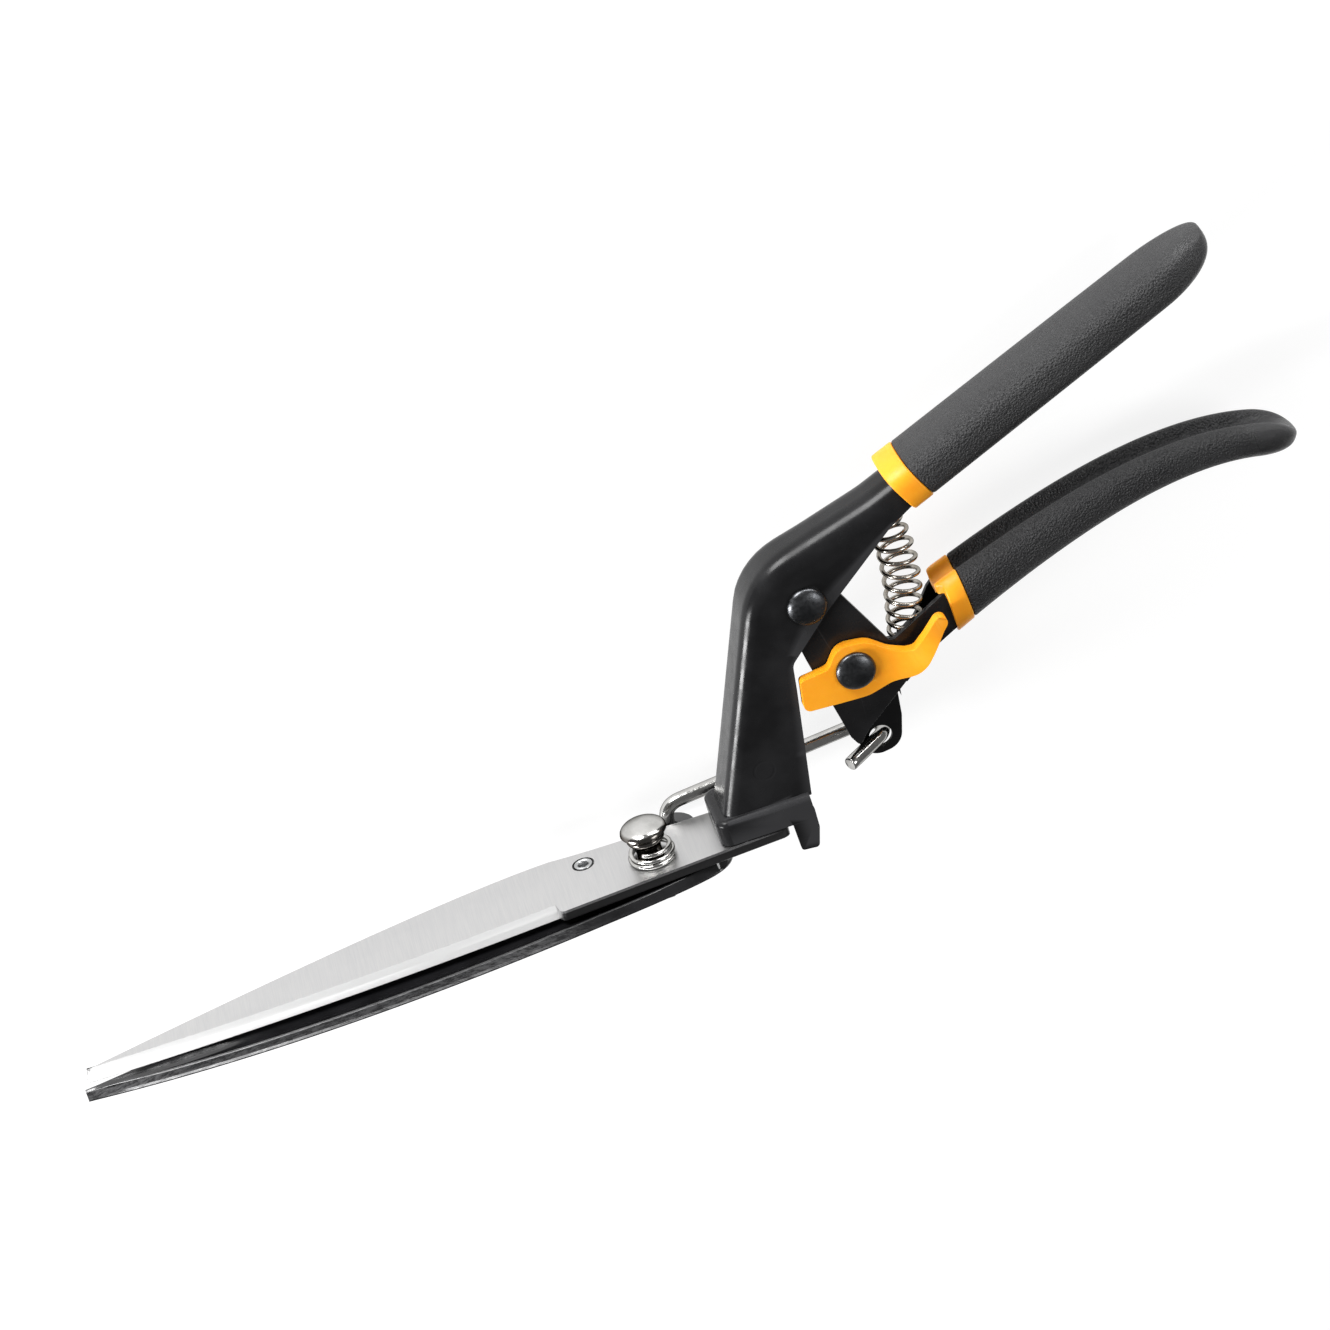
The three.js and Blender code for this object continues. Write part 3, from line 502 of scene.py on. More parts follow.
def collar(name, axis, size, rake, groove=0.0, lead=lambda n, w: 0.0):
    """Ring with rounded rims and an open bore."""
    proud, wall, rim = 0.15, 2.0, 0.45
    profile = [(wall, 0.0)] + [(rim * (1 - math.sin(a)), rim * (1 - math.cos(a)))
                               for a in (math.radians(22.5 * k) for k in range(5))]
    ends = profile + [(inset, COLLAR - s) for inset, s in reversed(profile)]
    rings = []
    for inset, s in ends:
        d, w = size(s)
        front = (lambda n, w2, s=s: lead(n, w2) * (1 - s / COLLAR))
        rings.append(section_ring(axis, s, d + proud - inset, w + proud - inset, rake(s), groove=groove,
                                  lead=front))
    return loft(name, rings, closed=True)


def upper_collar():
    return collar("upper_grip_collar", UPPER_AXIS, upper_size, upper_rake)


def lower_collar():
    """The lower collar reaches further forward between the flanges than beside them."""
    def tongue(n, w):
        inside = 1 / (1 + math.exp((abs(w) - 5.2) * 4))
        return -1.9 * inside * max(0.0, min(1.0, n / 3.0)) + 0.9

    return collar("lower_grip_collar", LOWER_AXIS, lower_size, lower_rake, groove=2.3, lead=tongue)


# ---------- blades --------------------------------------------------------------------------------
def curve_height(points):
    """A function giving the second coordinate of a polyline at its first."""
    p = sorted(points)
    xs, ys = [q[0] for q in p], [q[1] for q in p]
    return lambda x: float(np.interp(x, xs, ys))


def upper_blade():
    """Ground blade: flat, with a bevel ground along the cutting edge and a square-edged tang."""
    edge = curve_height(bezier([(-156.0, 13.7), (-95, 16.4), (NOTCH, 11.4)], 60))
    near = curve_height([(-28.3, 12.6), (-27.9, 13.25), (-27.2, 13.5), (-26.0, 13.4), (16.1, 10.5),
                         (32.2, 9.5)]
                        + bezier([(32.2, 9.5), (34.4, 9.3), (34.4, 7.3)], 8)[1:])
    far = curve_height(bezier([(-156.0, 11.6), (-110, 0.4), (-54, -11.6), (-27, -11.9)], 60)
                       + bezier([(-27, -11.9), (-20, -11.0), (-10, -10.7)], 8)[1:]
                       + [(32.2, -9.5)] + bezier([(32.2, -9.5), (34.4, -9.4), (34.4, -7.4)], 8)[1:])
    low = -BLADE_T
    rings = []
    xs = sorted({-156.0, NOTCH, -28.3, -27.9, -27.5, -27.2, -26.6, -26.0, *np.linspace(-155.2, -30, 70),
                 *np.linspace(-25, 32.2, 24), 33.0, 33.6, 34.0, 34.25, 34.4})
    for x in xs:
        zf = far(x)
        if x <= NOTCH:
            ze, bevel = edge(x), 2.5
            over = 1.5 if x < -155.9 else 0.0
            points = [(x, low, ze - 0.06), (x, low + 0.12, ze), (x + over, 0.0, ze - bevel),
                      (x + over, 0.0, ze - bevel - 0.2)]
            back = [(x + over, 0.0, zf + 0.25), (x + over, -0.25, zf), (x, low + 0.25, zf),
                    (x, low, zf + 0.25)]
        else:
            zn, r = near(x), 0.45
            points = [(x, low, zn - 0.2), (x, low + 0.2, zn), (x, -r, zn), (x, 0.0, zn - r)]
            back = [(x, 0.0, zf + 0.25), (x, -0.25, zf), (x, low + 0.25, zf), (x, low, zf + 0.25)]
        rings.append(points + back)
    blade = loft("upper_blade", rings)
    cut(blade,
        hole("pin_bore", PIN_PLACE, PIN_BORE, -4, 1),
        hole("stud_hole", (STUD.x, 0, STUD.z), STUD_BORE, -5, 2),
        hole("pin_hole", PIN_PLACE, PIN_BORE + 0.4, -1.4, 2))
    tidy(blade, weld=2e-6)
    return shade(blade, 20)


LOBE_R = 7.0                # round end of the lower blade's tail


def crest(x, y, z, step):
    """Small round crest between the hollow and the ground band."""
    z -= 2 * step
    points = [(x, y, z)]
    for slope in (24, 12, 0, -12, -24, -34):
        y += step * math.sin(math.radians(slope))
        z += step * math.cos(math.radians(slope))
        points.append((x, y, z))
    return points


def lower_blade():
    """Coated blade: dished behind a raised rim, with a bevel down to the near side."""
    cx, cz = TAIL_HOLE
    lobe = [(cx + LOBE_R * math.cos(a), cz + LOBE_R * math.sin(a))
            for a in np.linspace(math.radians(-152), math.radians(-2), 40)]
    far = curve_height([(-156.9, 15.4), (-40, -3.4)] + bezier([(-40, -3.4), (-32, -6.4), (-26, -7.6)], 8)[1:]
                       + bezier([(-14, -9.6), (-5.5, -10.6), lobe[0]], 10) + lobe[1:]
                       + bezier([(12.81, -12.8), (16.6, -5.0), (18.8, 3.6)], 12))
    near = curve_height(bezier([(-156.6, 17.0), (-120, 22.8), (-76, 23.8), (-18.0, 16.2)], 60)
                        + bezier([(-18.0, 16.2), (4, 13.6), (12.0, 11.0)], 14)[1:]
                        + bezier([(12.0, 11.0), (18.4, 8.6), (18.8, 3.6)], 14)[1:])
    ridge = curve_height(bezier([(-150, 16.4), (-118, 21.4), (-76, 22.7), (-18.5, 14.5)], 60)
                         + bezier([(-18.5, 14.5), (2, 12.0), (13.0, 8.4)], 14)[1:])
    bank = curve_height([(-150, 15.4), (-24, 6.6), (13.0, 7.6)])
    low, top = LOW_FACE, LOWER_TOP
    xs = {-156.9, -156.6, *np.linspace(-156, -26, 70), *np.linspace(-25, 12, 40),
          *np.linspace(12.05, 12.8, 9), *np.linspace(13.0, 17.8, 14), 18.1, 18.4, 18.6, 18.72, 18.8}
    rings = []
    for x in sorted(xs):
        zf, zn = far(x), near(x)
        span = zn - zf
        z1 = min(max(ridge(x), zf + 0.55 * span), zn - 0.15 * min(span, 9.0))
        z0 = min(max(bank(x), zf + 0.3 * span), z1 - 0.02 * span)
        runout = min(1.0, max(0.0, (13 - x) / 7) ** 0.6, max(0.0, (x + 150) / 10) ** 0.6)
        depth = 1.55 * min(1.0, max(0.0, (z1 - z0) / 6.0)) * runout
        edge = min(0.25, 0.1 * span)
        side = min(0.5, 0.12 * span)
        ring = [(x, low + 0.3, zf), (x, top - 0.3, zf), (x, top, zf + edge), (x, top, z0)]
        for k in range(1, 8):
            v = k / 8
            ring.append((x, top - 0.36 * v - depth * math.sin(math.pi * v) ** 0.8, z0 + (z1 - z0) * v))
        ring += crest(x, top - 0.36, z1, min(0.15, 0.02 * span))
        ring += [(x, low + 0.9, zn - side), (x, low + 0.5, zn), (x, low + 0.15, zn - 0.1 * side),
                 (x, low, zn - side), (x, low, zf + edge)]
        rings.append(ring)
    blade = loft("lower_blade", rings)
    cut(blade,
        hole("stud_hole", (STUD.x, 0, STUD.z), STUD_BORE, -9, 0),
        hole("tail_hole", (cx, 0, cz), TAIL_BORE, -9, 0, sides=48))
    tidy(blade, weld=2e-6)
    return shade(blade, 26)


def bearing_pin():
    return turned("blade_bearing_pin", [(0, -1.9), (1.3, -1.9), (1.35, -0.2), (1.6, 0.15), (2.0, 0.28),
                                        (2.4, 0.1), (2.5, -0.2), (2.5, -2.6), (0, -2.6)], PIN_PLACE, sides=48)


def tang_rivet(index, x):
    head = GAP + SHEET
    profile = [(0, -BLADE_T - 0.02), (2.7, -BLADE_T - 0.02), (1.8, -BLADE_T + 0.9), (1.8, head - 0.2),
               *dome(3.2, head, 1.5, 0.3)]
    return turned(f"tang_rivet_{index}", profile, (x, 0, 1.0), sides=40)


# ---------- blade pivot ---------------------------------------------------------------------------
def pivot_stud():
    """Mushroom-headed stud: crowned cap, waist, flange and shaft with a threaded end."""
    cap = [(6.15 * math.cos(a), 8.9 + 2.35 * math.sin(a)) for a in (math.radians(9 * k) for k in range(11))]
    cap[-1] = (0, cap[-1][1])
    thread = []
    for k in range(9):
        y = LOW_FACE - 5.0 + 0.6 * k
        thread += [(3.25, y), (2.95, y + 0.3)]
    return turned("pivot_stud", [
        (0, LOW_FACE - 5.2), (2.8, LOW_FACE - 5.2), *thread, (3.4, LOW_FACE + 0.4), (3.4, 3.6),
        (3.7, 4.6), (4.3, 5.6), (4.9, 6.1), (5.05, 6.45), (5.05, 7.0), (4.85, 7.3), (4.5, 7.5), (4.7, 7.75),
        (5.6, 8.1), (6.05, 8.45), (6.2, 8.7), *cap,
    ], (STUD.x, 0, STUD.z), sides=96)


def stud_spring():
    """Two and a bit turns of spring wire, set a little behind the stud."""
    turns, steps = 2.25, 150
    points = []
    for k in range(steps + 1):
        u = k / steps
        a = 2 * math.pi * turns * u + 0.6
        r = 6.0 - 1.0 * u
        points.append((STUD.x + 0.5 + r * math.cos(a), 0.66 + 3.2 * u**1.4, STUD.z + r * math.sin(a)))
    return wire("stud_spring", points, 0.62, sides=14, end_round=0.2)


def stud_washer():
    top = LOW_FACE - 0.25
    profile = [(3.6, top - 1.0), (6.4, top - 1.0), (6.6, top - 0.8), (6.6, top - 0.2), (6.4, top), (3.6, top),
               (3.6, top - 1.0)]
    return turned("stud_washer", profile, (STUD.x, 0, STUD.z))


def stud_nut():
    top = LOW_FACE - 1.6
    hexagon = [(STUD.x + 5.6 * math.cos(math.radians(60 * k)), STUD.z + 5.6 * math.sin(math.radians(60 * k)))
               for k in range(6)]
    nut = prism("stud_nut", hexagon, top - 3.0, top, axis="y")
    cut(nut, hole("nut_bore", (STUD.x, 0, STUD.z), 3.5, top - 5, top + 2))
    return soften(nut, 0.35)


# ---------- pivots, spring and catch ---------------------------------------------------------------
def handle_pivot_rivet():
    face = UPPER_HALF + 0.05
    near = dome(5.2, face, 2.5)
    far = [(r, -h) for r, h in dome(5.2, face, 2.2)]
    shank = [(5.2, -face), (2.9, -face), (2.9, face), (5.2, face)]
    return turned("handle_pivot_rivet", far[::-1] + shank + near, (*HANDLE_PIVOT, 0), axis="z", sides=72)


def catch_rivet():
    face, inside = LOWER_HALF + GAP + 3.15, LOWER_HALF - SHEET - 0.1
    return turned("catch_rivet", [(0, inside - 1.4), (3.4, inside - 1.2), (4.0, inside - 0.6), (4.0, inside),
                                  (2.4, inside), (2.4, face), (5.2, face), *dome(5.2, face, 2.2)],
                  (CATCH_PIVOT.x, CATCH_PIVOT.y, 0), axis="z", sides=72)


def pivot_bush():
    half = LOWER_HALF - SHEET - GAP
    profile = [(3.1, -half), (4.4, -half), (4.6, -half + 0.2), (4.6, half - 0.2), (4.4, half), (3.1, half),
               (3.1, -half)]
    return turned("pivot_bush", profile, (*HANDLE_PIVOT, 0), axis="z", sides=48)


def slice_across(obj, stops):
    """Cuts extra lines across a mesh at the given x, so that it can be bent."""
    bm = bmesh.new()
    bm.from_mesh(obj.data)
    for x in stops:
        geometry = [*bm.verts, *bm.edges, *bm.faces]
        bmesh.ops.bisect_plane(bm, geom=geometry, plane_co=at(x, 0), plane_no=(1, 0.45, 0))
    bm.to_mesh(obj.data)
    bm.free()


def catch_lever():
    """Moulded catch: square nose, boss round its rivet and a rising, twisted thumb tab."""
    side = rounded([
        (47.3, 40.1, 1.2), (46.3, 31.1, 1.8), (56.4, 30.4, 8), (63.4, 30.0, 10), (69.5, 31.6, 8),
        (76.4, 32.0, 8), (79.6, 34.8, 7), (87.3, 44.2, 2.0), (86.6, 46.9, 1.8), (84.4, 46.2, 3),
        (76.8, 38.8, 3), (71.4, 41.0, 8), (66.5, 45.0, 6), (58.6, 46.2, 4.5), (55.0, 40.9, 2.5)])
    base = LOWER_HALF + GAP
    catch = prism("catch_lever", side, base, base + 3.1)
    cut(catch, hole("rivet_hole", (CATCH_PIVOT.x, CATCH_PIVOT.y, 0), 2.7, base - 1, base + 5, axis="z"))
    soften(catch, 1.0, segments=5, angle=30)
    slice_across(catch, np.linspace(82, 106, 17))
    for v in catch.data.vertices:
        p = (v.co - ORIGIN) / MM
        along = min(1.0, max(0.0, (p.x + 0.45 * p.y - 84) / 20))
        below = min(1.0, max(0.0, (p.x - 0.8 * p.y - 44.5) / 8))
        rise = along * along * (3 - 2 * along) * 2.2 + math.sin(math.pi * along) * below * 2.2
        v.co.z += rise * MM
    return shade(catch, 60)


SPRING_FOOT, SPRING_HEAD, SPRING_TURNS = (77.4, 37.9), (78.0, 77.2), 11


def handle_spring():
    """Compression coil bowed between the two channels, its end turns closed up."""
    (x0, y0), (x1, y1) = SPRING_FOOT, SPRING_HEAD
    centre = Line(bezier([(x0, y0), (x0 + 2.6, y0 + 13), (x1 + 4.6, y1 - 14), (x1, y1)], 40))
    per_turn, points = 30, []
    total = SPRING_TURNS * per_turn
    for k in range(total + 1):
        u = k / total
        ease = u - 0.022 * math.sin(2 * math.pi * u)
        c, t = centre.at(ease * centre.length), centre.along(ease * centre.length)
        r = 4.05 + 0.5 * math.sin(math.pi * u) ** 0.7
        a = 2 * math.pi * SPRING_TURNS * u
        points.append((c[0] + t[1] * r * math.cos(a), c[1] - t[0] * r * math.cos(a), r * math.sin(a)))
    return wire("handle_spring", points, 0.6, sides=12, end_round=0.2)


def spring_seat(name, x, y, turn, profile):
    """Turned cup whose peg points along y, turned about z and set at (x, y)."""
    seat = turned(name, profile, (0, 0, 0), sides=40)
    seat.data.transform(Matrix.Translation(-ORIGIN))
    seat.data.transform(Matrix.Rotation(turn, 4, "Z"))
    seat.data.transform(Matrix.Translation(at(x, y, 0)))
    return seat


def upper_spring_seat():
    profile = [(0, 0), (4.1, 0), (4.2, 0.1), (4.2, 0.7), (4.1, 0.8), (2.3, 0.8), (2.3, 2.6), (1.6, 3.3),
               (0, 3.3)]
    x, y = SPRING_HEAD[0] - 0.6, SPRING_HEAD[1] + 2.2
    return spring_seat("upper_spring_seat", x, y, math.pi + GRIP_ANGLE, profile)


def lower_spring_seat():
    profile = [(0, -3.4), (3.6, -3.4), (4.0, -3.0), (4.0, -1.0), (3.9, -0.9), (2.3, -0.9), (2.3, 1.2),
               (1.6, 2.0), (0, 2.0)]
    return spring_seat("lower_spring_seat", *SPRING_FOOT, -0.27, profile)


def link_rod():
    """Bent rod: leg down through the blade's tail, a long run and a hook through the ear."""
    slope, radius, offset, stub = math.radians(4.9), 5.5, 3.6, 11.8
    turn, rod_z, leg_x = math.radians(145), -14.5, 6.0
    along, up = np.array([math.cos(slope), math.sin(slope), 0.0]), np.array([0.0, 0.0, 1.0])
    centre = np.array([ROD_HOLE.x, ROD_HOLE.y, 0.0]) - along * offset
    centre[2] = rod_z + radius
    hook_start = centre - up * radius
    bend_end = np.array([leg_x, 0.0, rod_z]) + along * 5
    bend_end[1] = hook_start[1] + (bend_end[0] - hook_start[0]) * math.tan(slope)
    corner = bend_end - along * 5
    leg_top = corner - np.array([0.0, 5.0, 0.0])
    leg_end = np.array([corner[0], LOW_FACE - 2.6, rod_z - 0.5])
    points = [leg_end + (leg_top - leg_end) * k / 4 for k in range(4)]
    points += [np.array(q) for q in bezier([leg_top, corner, bend_end], 14)]
    points += [bend_end + (hook_start - bend_end) * k / 14 for k in range(1, 14)]
    points += [centre + along * radius * math.sin(turn * k / 28) - up * radius * math.cos(turn * k / 28)
               for k in range(29)]
    out = along * math.cos(turn) + up * math.sin(turn)
    points += [points[-1] + out * stub * k / 6 for k in range(1, 7)]
    return wire("link_rod", points, 1.9, sides=28, end_round=0.4)


# ---------- finishes ------------------------------------------------------------------------------
class Finish:
    """A procedural material. Its patterns are laid in the row frame, in millimetres."""

    def __init__(self, name, **values):
        self.material = bpy.data.materials.new(name)
        self.material.use_nodes = True
        self.tree = self.material.node_tree
        self.shader = next(n for n in self.tree.nodes if n.type == "BSDF_PRINCIPLED")
        for socket, value in values.items():
            self.shader.inputs[socket.replace("_", " ")].default_value = value
        self.place = self.node("TexCoord")
        self.bump_from = None

    def node(self, kind, **settings):
        n = self.tree.nodes.new("ShaderNode" + kind)
        for key, value in settings.items():
            setattr(n, key, value)
        return n

    def link(self, source, target):
        self.tree.links.new(source, target)

    def stretched(self, per_mm):
        """Coordinates with the given pattern frequency per millimetre along x, y and z."""
        m = self.node("Mapping")
        m.inputs["Scale"].default_value = [f / MM for f in per_mm]
        self.link(self.place.outputs["Object"], m.inputs["Vector"])
        return m.outputs["Vector"]

    def noise(self, per_mm, detail=3.0, rough=0.55):
        n = self.node("TexNoise")
        n.inputs["Scale"].default_value = 1.0
        n.inputs["Detail"].default_value, n.inputs["Roughness"].default_value = detail, rough
        self.link(self.stretched(per_mm), n.inputs["Vector"])
        return n.outputs["Fac"]

    def cells(self, per_mm):
        n = self.node("TexVoronoi")
        n.inputs["Scale"].default_value = 1.0
        self.link(self.stretched(per_mm), n.inputs["Vector"])
        return n.outputs["Distance"]

    def ranged(self, source, low, high, to_low=0.0, to_high=1.0):
        n = self.node("MapRange", interpolation_type="SMOOTHSTEP")
        for key, value in (("From Min", low), ("From Max", high), ("To Min", to_low), ("To Max", to_high)):
            n.inputs[key].default_value = value
        self.link(source, n.inputs["Value"])
        return n.outputs["Result"]

    def maths(self, operation, a, b):
        n = self.node("Math", operation=operation, use_clamp=True)
        for socket, value in zip(n.inputs, (a, b)):
            if isinstance(value, (int, float)):
                socket.default_value = value
            else:
                self.link(value, socket)
        return n.outputs["Value"]

    def mix(self, factor, a, b):
        n = self.node("Mix", data_type="RGBA")
        self.link(factor, n.inputs[0])
        for socket, value in zip((n.inputs[6], n.inputs[7]), (a, b)):
            if isinstance(value, tuple):
                socket.default_value = (*value, 1.0)
            else:
                self.link(value, socket)
        return n.outputs[2]

    def axis(self, space, letter):
        n = self.node("SeparateXYZ")
        self.link(self.place.outputs[space], n.inputs["Vector"])
        return n.outputs[letter]

    def distance(self, point):
        n = self.node("VectorMath", operation="DISTANCE")
        self.link(self.place.outputs["Object"], n.inputs[0])
        n.inputs[1].default_value = point
        return n.outputs["Value"]

    def worn_edges(self, low=0.52, high=0.60):
        return self.ranged(self.node("NewGeometry").outputs["Pointiness"], low, high)

    def set(self, socket, source):
        self.link(source, self.shader.inputs[socket])
        return self

    def bump(self, height, strength, depth_mm):
        b = self.node("Bump")
        b.inputs["Strength"].default_value, b.inputs["Distance"].default_value = strength, depth_mm * MM
        self.link(height, b.inputs["Height"])
        if self.bump_from is not None:
            self.link(self.bump_from, b.inputs["Normal"])
        self.bump_from = b.outputs["Normal"]
        self.link(self.bump_from, self.shader.inputs["Normal"])
        return self


def black_paint():
    """Sprayed satin enamel: faint orange peel, rubbed edges and a round press mark on the leg."""
    f = Finish("black_paint", IOR=1.27)
    cloud = f.noise((0.06,) * 3, 4)
    colour = f.mix(f.ranged(cloud, 0.3, 0.7), (0.0075, 0.0075, 0.008), (0.016, 0.016, 0.017))
    rub = f.maths("MULTIPLY", f.worn_edges(0.53, 0.64), 0.3)
    f.set("Base Color", f.mix(rub, colour, (0.09, 0.09, 0.095)))
    f.set("Roughness", f.ranged(f.noise((0.25,) * 3), 0.3, 0.7, 0.20, 0.30))
    f.bump(f.noise((0.9,) * 3, 2), 0.07, 0.02)
    f.bump(f.noise((6.0,) * 3, 2), 0.10, 0.008)
    mark = f.distance(at(32.4, 17.6, UPPER_HALF))
    ring = f.maths("MULTIPLY", f.ranged(mark, 2.2 * MM, 2.5 * MM), f.ranged(mark, 3.1 * MM, 2.8 * MM))
    return f.bump(f.maths("SUBTRACT", 1.0, ring), 0.5, 0.11)


def vinyl(name, dark, light, shiny):
    """Dipped vinyl with a fine pebble, rubbed smooth and shiny round one point."""
    f = Finish(name, Specular_IOR_Level=0.42)
    patch = f.noise((0.045,) * 3, 4)
    colour = f.mix(f.ranged(patch, 0.3, 0.7), dark, light)
    pebble = f.cells((1.7,) * 3)
    f.set("Base Color", f.mix(f.maths("MULTIPLY", f.ranged(pebble, 0.1, 0.8), 0.6), colour, dark))
    dull = f.ranged(f.distance(at(*shiny)), 3 * MM, 17 * MM)
    f.set("Roughness", f.maths("SUBTRACT", f.ranged(patch, 0.3, 0.7, 0.44, 0.54),
                               f.ranged(dull, 1, 0, 0, 0.24)))
    f.bump(f.maths("MULTIPLY", pebble, dull), 1.0, 0.36)
    return f.bump(f.noise((3.0,) * 3, 4), 1.0, 0.20)


def orange_plastic():
    """Moulded polypropylene: slightly translucent, finely textured."""
    f = Finish("orange_plastic", Specular_IOR_Level=0.42, Subsurface_Weight=0.12, Subsurface_Scale=0.002)
    f.shader.inputs["Subsurface Radius"].default_value = (1.0, 0.45, 0.1)
    cloud = f.noise((0.09,) * 3, 4)
    base = f.mix(f.ranged(cloud, 0.3, 0.7), (0.93, 0.335, 0.008), (1.0, 0.40, 0.015))
    rub = f.maths("MULTIPLY", f.worn_edges(0.52, 0.6), 0.25)
    f.set("Base Color", f.mix(rub, base, (1.0, 0.52, 0.08)))
    f.set("Roughness", f.ranged(f.noise((0.5,) * 3), 0.3, 0.7, 0.36, 0.48))
    return f.bump(f.noise((4.5,) * 3, 3), 0.2, 0.03)


def ground_steel():
    """Stainless blade ground across its length, with a brighter ground bevel and a black tang edge."""
    f = Finish("ground_steel", Metallic=1.0, Anisotropic=0.35)
    lines = f.noise((5.0, 1.0, 0.10), 5, 0.62)
    stain = f.noise((0.05, 0.05, 0.09), 4)
    grey = f.mix(f.ranged(lines, 0.25, 0.75), (0.535, 0.535, 0.54), (0.605, 0.60, 0.595))
    grey = f.mix(f.maths("MULTIPLY", f.ranged(stain, 0.45, 0.75), 0.25), grey, (0.50, 0.50, 0.51))
    bevel = f.ranged(f.axis("Normal", "Z"), 0.3, 0.6)
    ahead = f.ranged(f.axis("Object", "X"), at(NOTCH + 0.2, 0).x, at(NOTCH - 0.2, 0).x)
    bright = f.maths("MULTIPLY", bevel, ahead)
    behind = f.ranged(f.axis("Object", "X"), at(NOTCH, 0).x, at(NOTCH + 0.6, 0).x)
    tang = f.maths("MULTIPLY", bevel, behind)
    grey = f.mix(bright, grey, (0.57, 0.57, 0.57))
    f.set("Metallic", f.maths("SUBTRACT", 1.0, f.maths("MULTIPLY", bright, 0.5)))
    f.set("Base Color", f.mix(f.maths("MULTIPLY", tang, 0.9), grey, (0.03, 0.03, 0.032)))
    f.set("Roughness", f.ranged(lines, 0.25, 0.75, 0.32, 0.42))
    return f.bump(lines, 0.10, 0.012)


def black_coating():
    """Glossy non-stick coating, scratched through to streaky steel on the ground edge band."""
    f = Finish("black_coating", Coat_Weight=0.5, Coat_Roughness=0.08)
    streaks = f.noise((0.3, 0.9, 4.2), 6, 0.8)
    ridge_centre, ridge_radius = at(-92.5, LOWER_TOP, -455.0), 475.3 * MM
    beyond = f.ranged(f.distance(ridge_centre), ridge_radius, ridge_radius + 0.25 * MM)
    facing = f.ranged(f.axis("Normal", "Y"), 0.05, 0.25)
    reach = f.ranged(f.axis("Object", "X"), at(-14, 0).x, at(-46, 0).x)
    band = f.maths("MULTIPLY", f.maths("MULTIPLY", beyond, facing), reach)
    worn = f.maths("MULTIPLY", band, f.ranged(streaks, 0.40, 0.60, 0.15, 1.0))
    cloud = f.noise((0.08,) * 3, 4)
    coat = f.mix(f.ranged(cloud, 0.3, 0.7), (0.0045, 0.0045, 0.005), (0.010, 0.010, 0.011))
    f.set("Base Color", f.mix(worn, coat, (0.11, 0.11, 0.113)))
    f.set("Metallic", f.maths("MULTIPLY", worn, 0.45))
    f.set("Roughness", f.maths("ADD", f.ranged(f.noise((0.3,) * 3), 0.3, 0.7, 0.12, 0.20),
                               f.maths("MULTIPLY", worn, 0.3)))
    f.set("Coat Weight", f.maths("SUBTRACT", 0.5, worn))
    return f.bump(streaks, 0.08, 0.02)


def plated(name, dark, light, rough, wear=0.25, grain=(0.8, 0.8, 0.8), edge=1.0, relief=0.02):
    """Plated or bare metal with handling marks, darker where it is seen edge on."""
    f = Finish(name, Metallic=1.0, Specular_Tint=(edge, edge, 0.97 * edge, 1.0))
    cloud = f.noise((0.22,) * 3, 4)
    fine = f.noise(grain, 4)
    colour = f.mix(f.ranged(cloud, 0.32, 0.68), dark, light)
    rubbed = tuple(min(1, 1.15 * c) for c in light)
    f.set("Base Color", f.mix(f.maths("MULTIPLY", f.worn_edges(), wear), colour, rubbed))
    f.set("Roughness", f.ranged(fine, 0.3, 0.7, rough[0], rough[1]))
    return f.bump(fine, 0.10, relief)


NICKEL = ((0.50, 0.495, 0.48), (0.62, 0.615, 0.60))


def stud_nickel():
    """Polished nickel, with a painted dark reflection round the cap's rim and painted shade in the waist
    under it.
    """
    f = plated("stud_nickel", *NICKEL, (0.13, 0.22), edge=0.1, relief=0.006)
    centre = at(STUD.x, 11.2, STUD.z)
    # painted dark reflection and painted shade: darkens the cap's rim and the waist under it, by distance
    # from a point above the cap
    rim = f.ranged(f.distance(centre), 5.3 * MM, 6.3 * MM)
    polished = f.shader.inputs["Base Color"].links[0].from_socket
    return f.set("Base Color", f.mix(f.maths("MULTIPLY", rim, 0.85), polished, (0.085, 0.075, 0.065)))


FINISHES = {
    "black_paint": black_paint(),
    "grip_upper": vinyl("grip_upper", (0.021, 0.021, 0.022), (0.033, 0.033, 0.034), (173, 117, 6)),
    "grip_lower": vinyl("grip_lower", (0.012, 0.012, 0.013), (0.022, 0.022, 0.023), (182, 62, 6)),
    "orange_plastic": orange_plastic(),
    "ground_steel": ground_steel(),
    "black_coating": black_coating(),
    "bright_nickel": plated("bright_nickel", *NICKEL, (0.12, 0.22), edge=0.25, relief=0.006),
    "pivot_stud": stud_nickel(),
    "spring_steel": plated("spring_steel", (0.36, 0.335, 0.30), (0.50, 0.475, 0.43), (0.16, 0.28), edge=0.4),
    "gunmetal": plated("gunmetal", (0.05, 0.052, 0.056), (0.105, 0.108, 0.114), (0.26, 0.40), wear=0.15,
                       grain=(1.2,) * 3),
    "zinc": plated("zinc", (0.38, 0.385, 0.39), (0.52, 0.525, 0.53), (0.25, 0.40), grain=(0.5,) * 3),
}

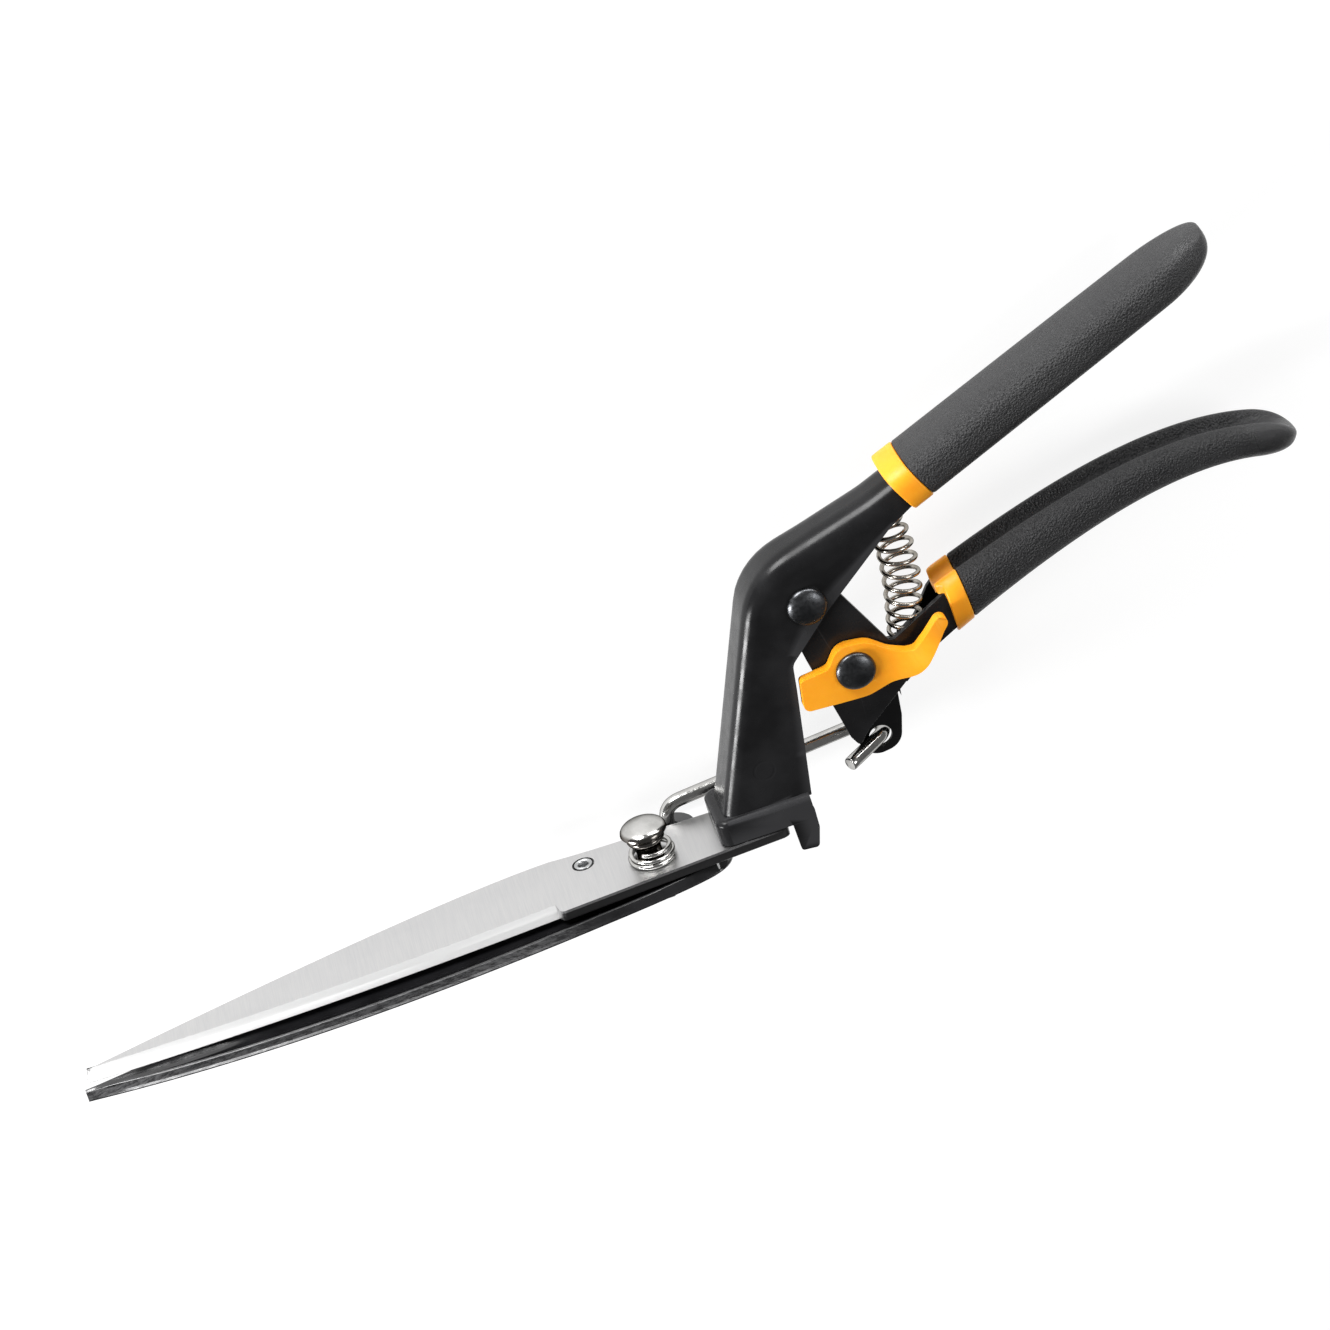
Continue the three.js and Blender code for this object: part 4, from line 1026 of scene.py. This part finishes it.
# ---------- the pieces on their bodies ------------------------------------------------------------
UPPER, LOWER = "upper_handle", "lower_handle"
PIECES = [
    (upper_handle, "upper_handle_channel", UPPER, "black_paint"),
    (upper_grip, "upper_grip", UPPER, "grip_upper"),
    (upper_collar, "upper_grip_collar", UPPER, "orange_plastic"),
    (handle_pivot_rivet, "handle_pivot_rivet", UPPER, "gunmetal"),
    (upper_blade, "upper_blade", UPPER, "ground_steel"),
    (bearing_pin, "blade_bearing_pin", UPPER, "zinc"),
    (lambda: tang_rivet(1, 22.5), "tang_rivet_1", UPPER, "zinc"),
    (lambda: tang_rivet(2, 29.5), "tang_rivet_2", UPPER, "zinc"),
    (pivot_stud, "pivot_stud", UPPER, "bright_nickel"),
    (stud_spring, "stud_spring", UPPER, "bright_nickel"),
    (stud_washer, "stud_washer", UPPER, "zinc"),
    (stud_nut, "stud_nut", UPPER, "zinc"),
    (upper_spring_seat, "upper_spring_seat", UPPER, "black_paint"),
    (lower_handle, "lower_handle_channel", LOWER, "black_paint"),
    (lower_grip, "lower_grip", LOWER, "grip_lower"),
    (lower_collar, "lower_grip_collar", LOWER, "orange_plastic"),
    (pivot_bush, "pivot_bush", LOWER, "zinc"),
    (catch_rivet, "catch_rivet", LOWER, "gunmetal"),
    (lower_spring_seat, "lower_spring_seat", LOWER, "black_paint"),
    (catch_lever, "catch_lever", "catch", "orange_plastic"),
    (link_rod, "link_rod", "rod", "bright_nickel"),
    (lower_blade, "lower_blade", "cutting_blade", "black_coating"),
]


def dress(obj, node, slot):
    obj.name = node + "_fine"
    obj.data.materials.clear()
    obj.data.materials.append(FINISHES.get(node, FINISHES[slot]).material)
    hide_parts(node)


for make, node, body, slot in PIECES:
    piece = make()
    dress(piece, node, slot)
    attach(piece, body)

coil = handle_spring()
dress(coil, "handle_spring", "spring_steel")
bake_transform(coil)


# ---------- floor, camera and light ---------------------------------------------------------------
def floor_finish():
    """Matt floor with an even glow, so that it stays white."""
    f = Finish("pale_floor", Roughness=0.75, Emission_Strength=0.8)
    f.shader.inputs["Emission Color"].default_value = (1, 1, 1, 1)
    cloud = f.noise((0.004,) * 3, 3)
    f.set("Base Color", f.mix(f.ranged(cloud, 0.3, 0.7), (0.24, 0.24, 0.24), (0.26, 0.26, 0.26)))
    return f.bump(f.noise((0.8,) * 3, 2), 0.03, 0.02)


def pale_floor():
    reach, z = 1600, -22.8
    corners = [(-reach, -reach, z), (reach, -reach, z), (reach, reach, z), (-reach, reach, z)]
    floor = new_piece("floor", corners, [[0, 1, 2, 3]])
    floor.data.materials.append(floor_finish().material)


TILT, TURN, ROLL = math.radians(30), math.radians(3.5), math.radians(16.8)
TARGET = (16.354, 51.974, 0.0)


def view_axes():
    """Right, up and back of the camera, in the tool's own axes."""
    back = Vector((-math.sin(TURN) * math.cos(TILT), math.sin(TILT), math.cos(TURN) * math.cos(TILT)))
    level = Vector((math.cos(TURN), 0, math.sin(TURN)))
    rise = back.cross(level)
    right = level * math.cos(ROLL) - rise * math.sin(ROLL)
    return right, level * math.sin(ROLL) + rise * math.cos(ROLL), back


RIGHT, UP, BACK = view_axes()


def add_camera():
    lens = bpy.data.cameras.new("camera")
    lens.lens, lens.sensor_width = 107.19, 36
    lens.clip_start, lens.clip_end = 0.05, 10
    camera = bpy.data.objects.new("camera", lens)
    axes = Matrix((RIGHT, UP, BACK)).transposed().to_4x4()
    camera.matrix_world = Matrix.Translation(at(*TARGET) + BACK) @ axes
    bpy.context.scene.collection.objects.link(camera)
    bpy.context.scene.camera = camera


def add_light(name, right, up, back, width, height, power):
    """Area light facing the tool from a place given along the camera's axes, in metres."""
    lamp = bpy.data.lights.new(name, "AREA")
    lamp.shape, lamp.size, lamp.size_y, lamp.energy = "RECTANGLE", width, height, power
    light = bpy.data.objects.new(name, lamp)
    offset = RIGHT * right + UP * up + BACK * back
    turn = offset.normalized().to_track_quat("Z", "Y").to_matrix().to_4x4()
    light.matrix_world = Matrix.Translation(at(*TARGET) + offset) @ turn
    bpy.context.scene.collection.objects.link(light)


def add_world():
    world = bpy.data.worlds.new("studio")
    world.use_nodes = True
    background = next(n for n in world.node_tree.nodes if n.type == "BACKGROUND")
    background.inputs["Color"].default_value = (1, 1, 1, 1)
    background.inputs["Strength"].default_value = 0.16
    bpy.context.scene.world = world


pale_floor()
add_camera()
add_light("key", -0.70, 0.72, 0.85, 0.5, 0.6, 20)
add_light("top", 0.35, 0.95, 0.55, 0.9, 0.35, 8)
add_light("fill", 0.9, -0.1, 0.9, 0.5, 0.5, 5)
add_light("edge", -0.66, -0.49, 0.22, 0.12, 0.4, 9)
add_world()
bpy.context.scene.view_settings.view_transform = "Standard"
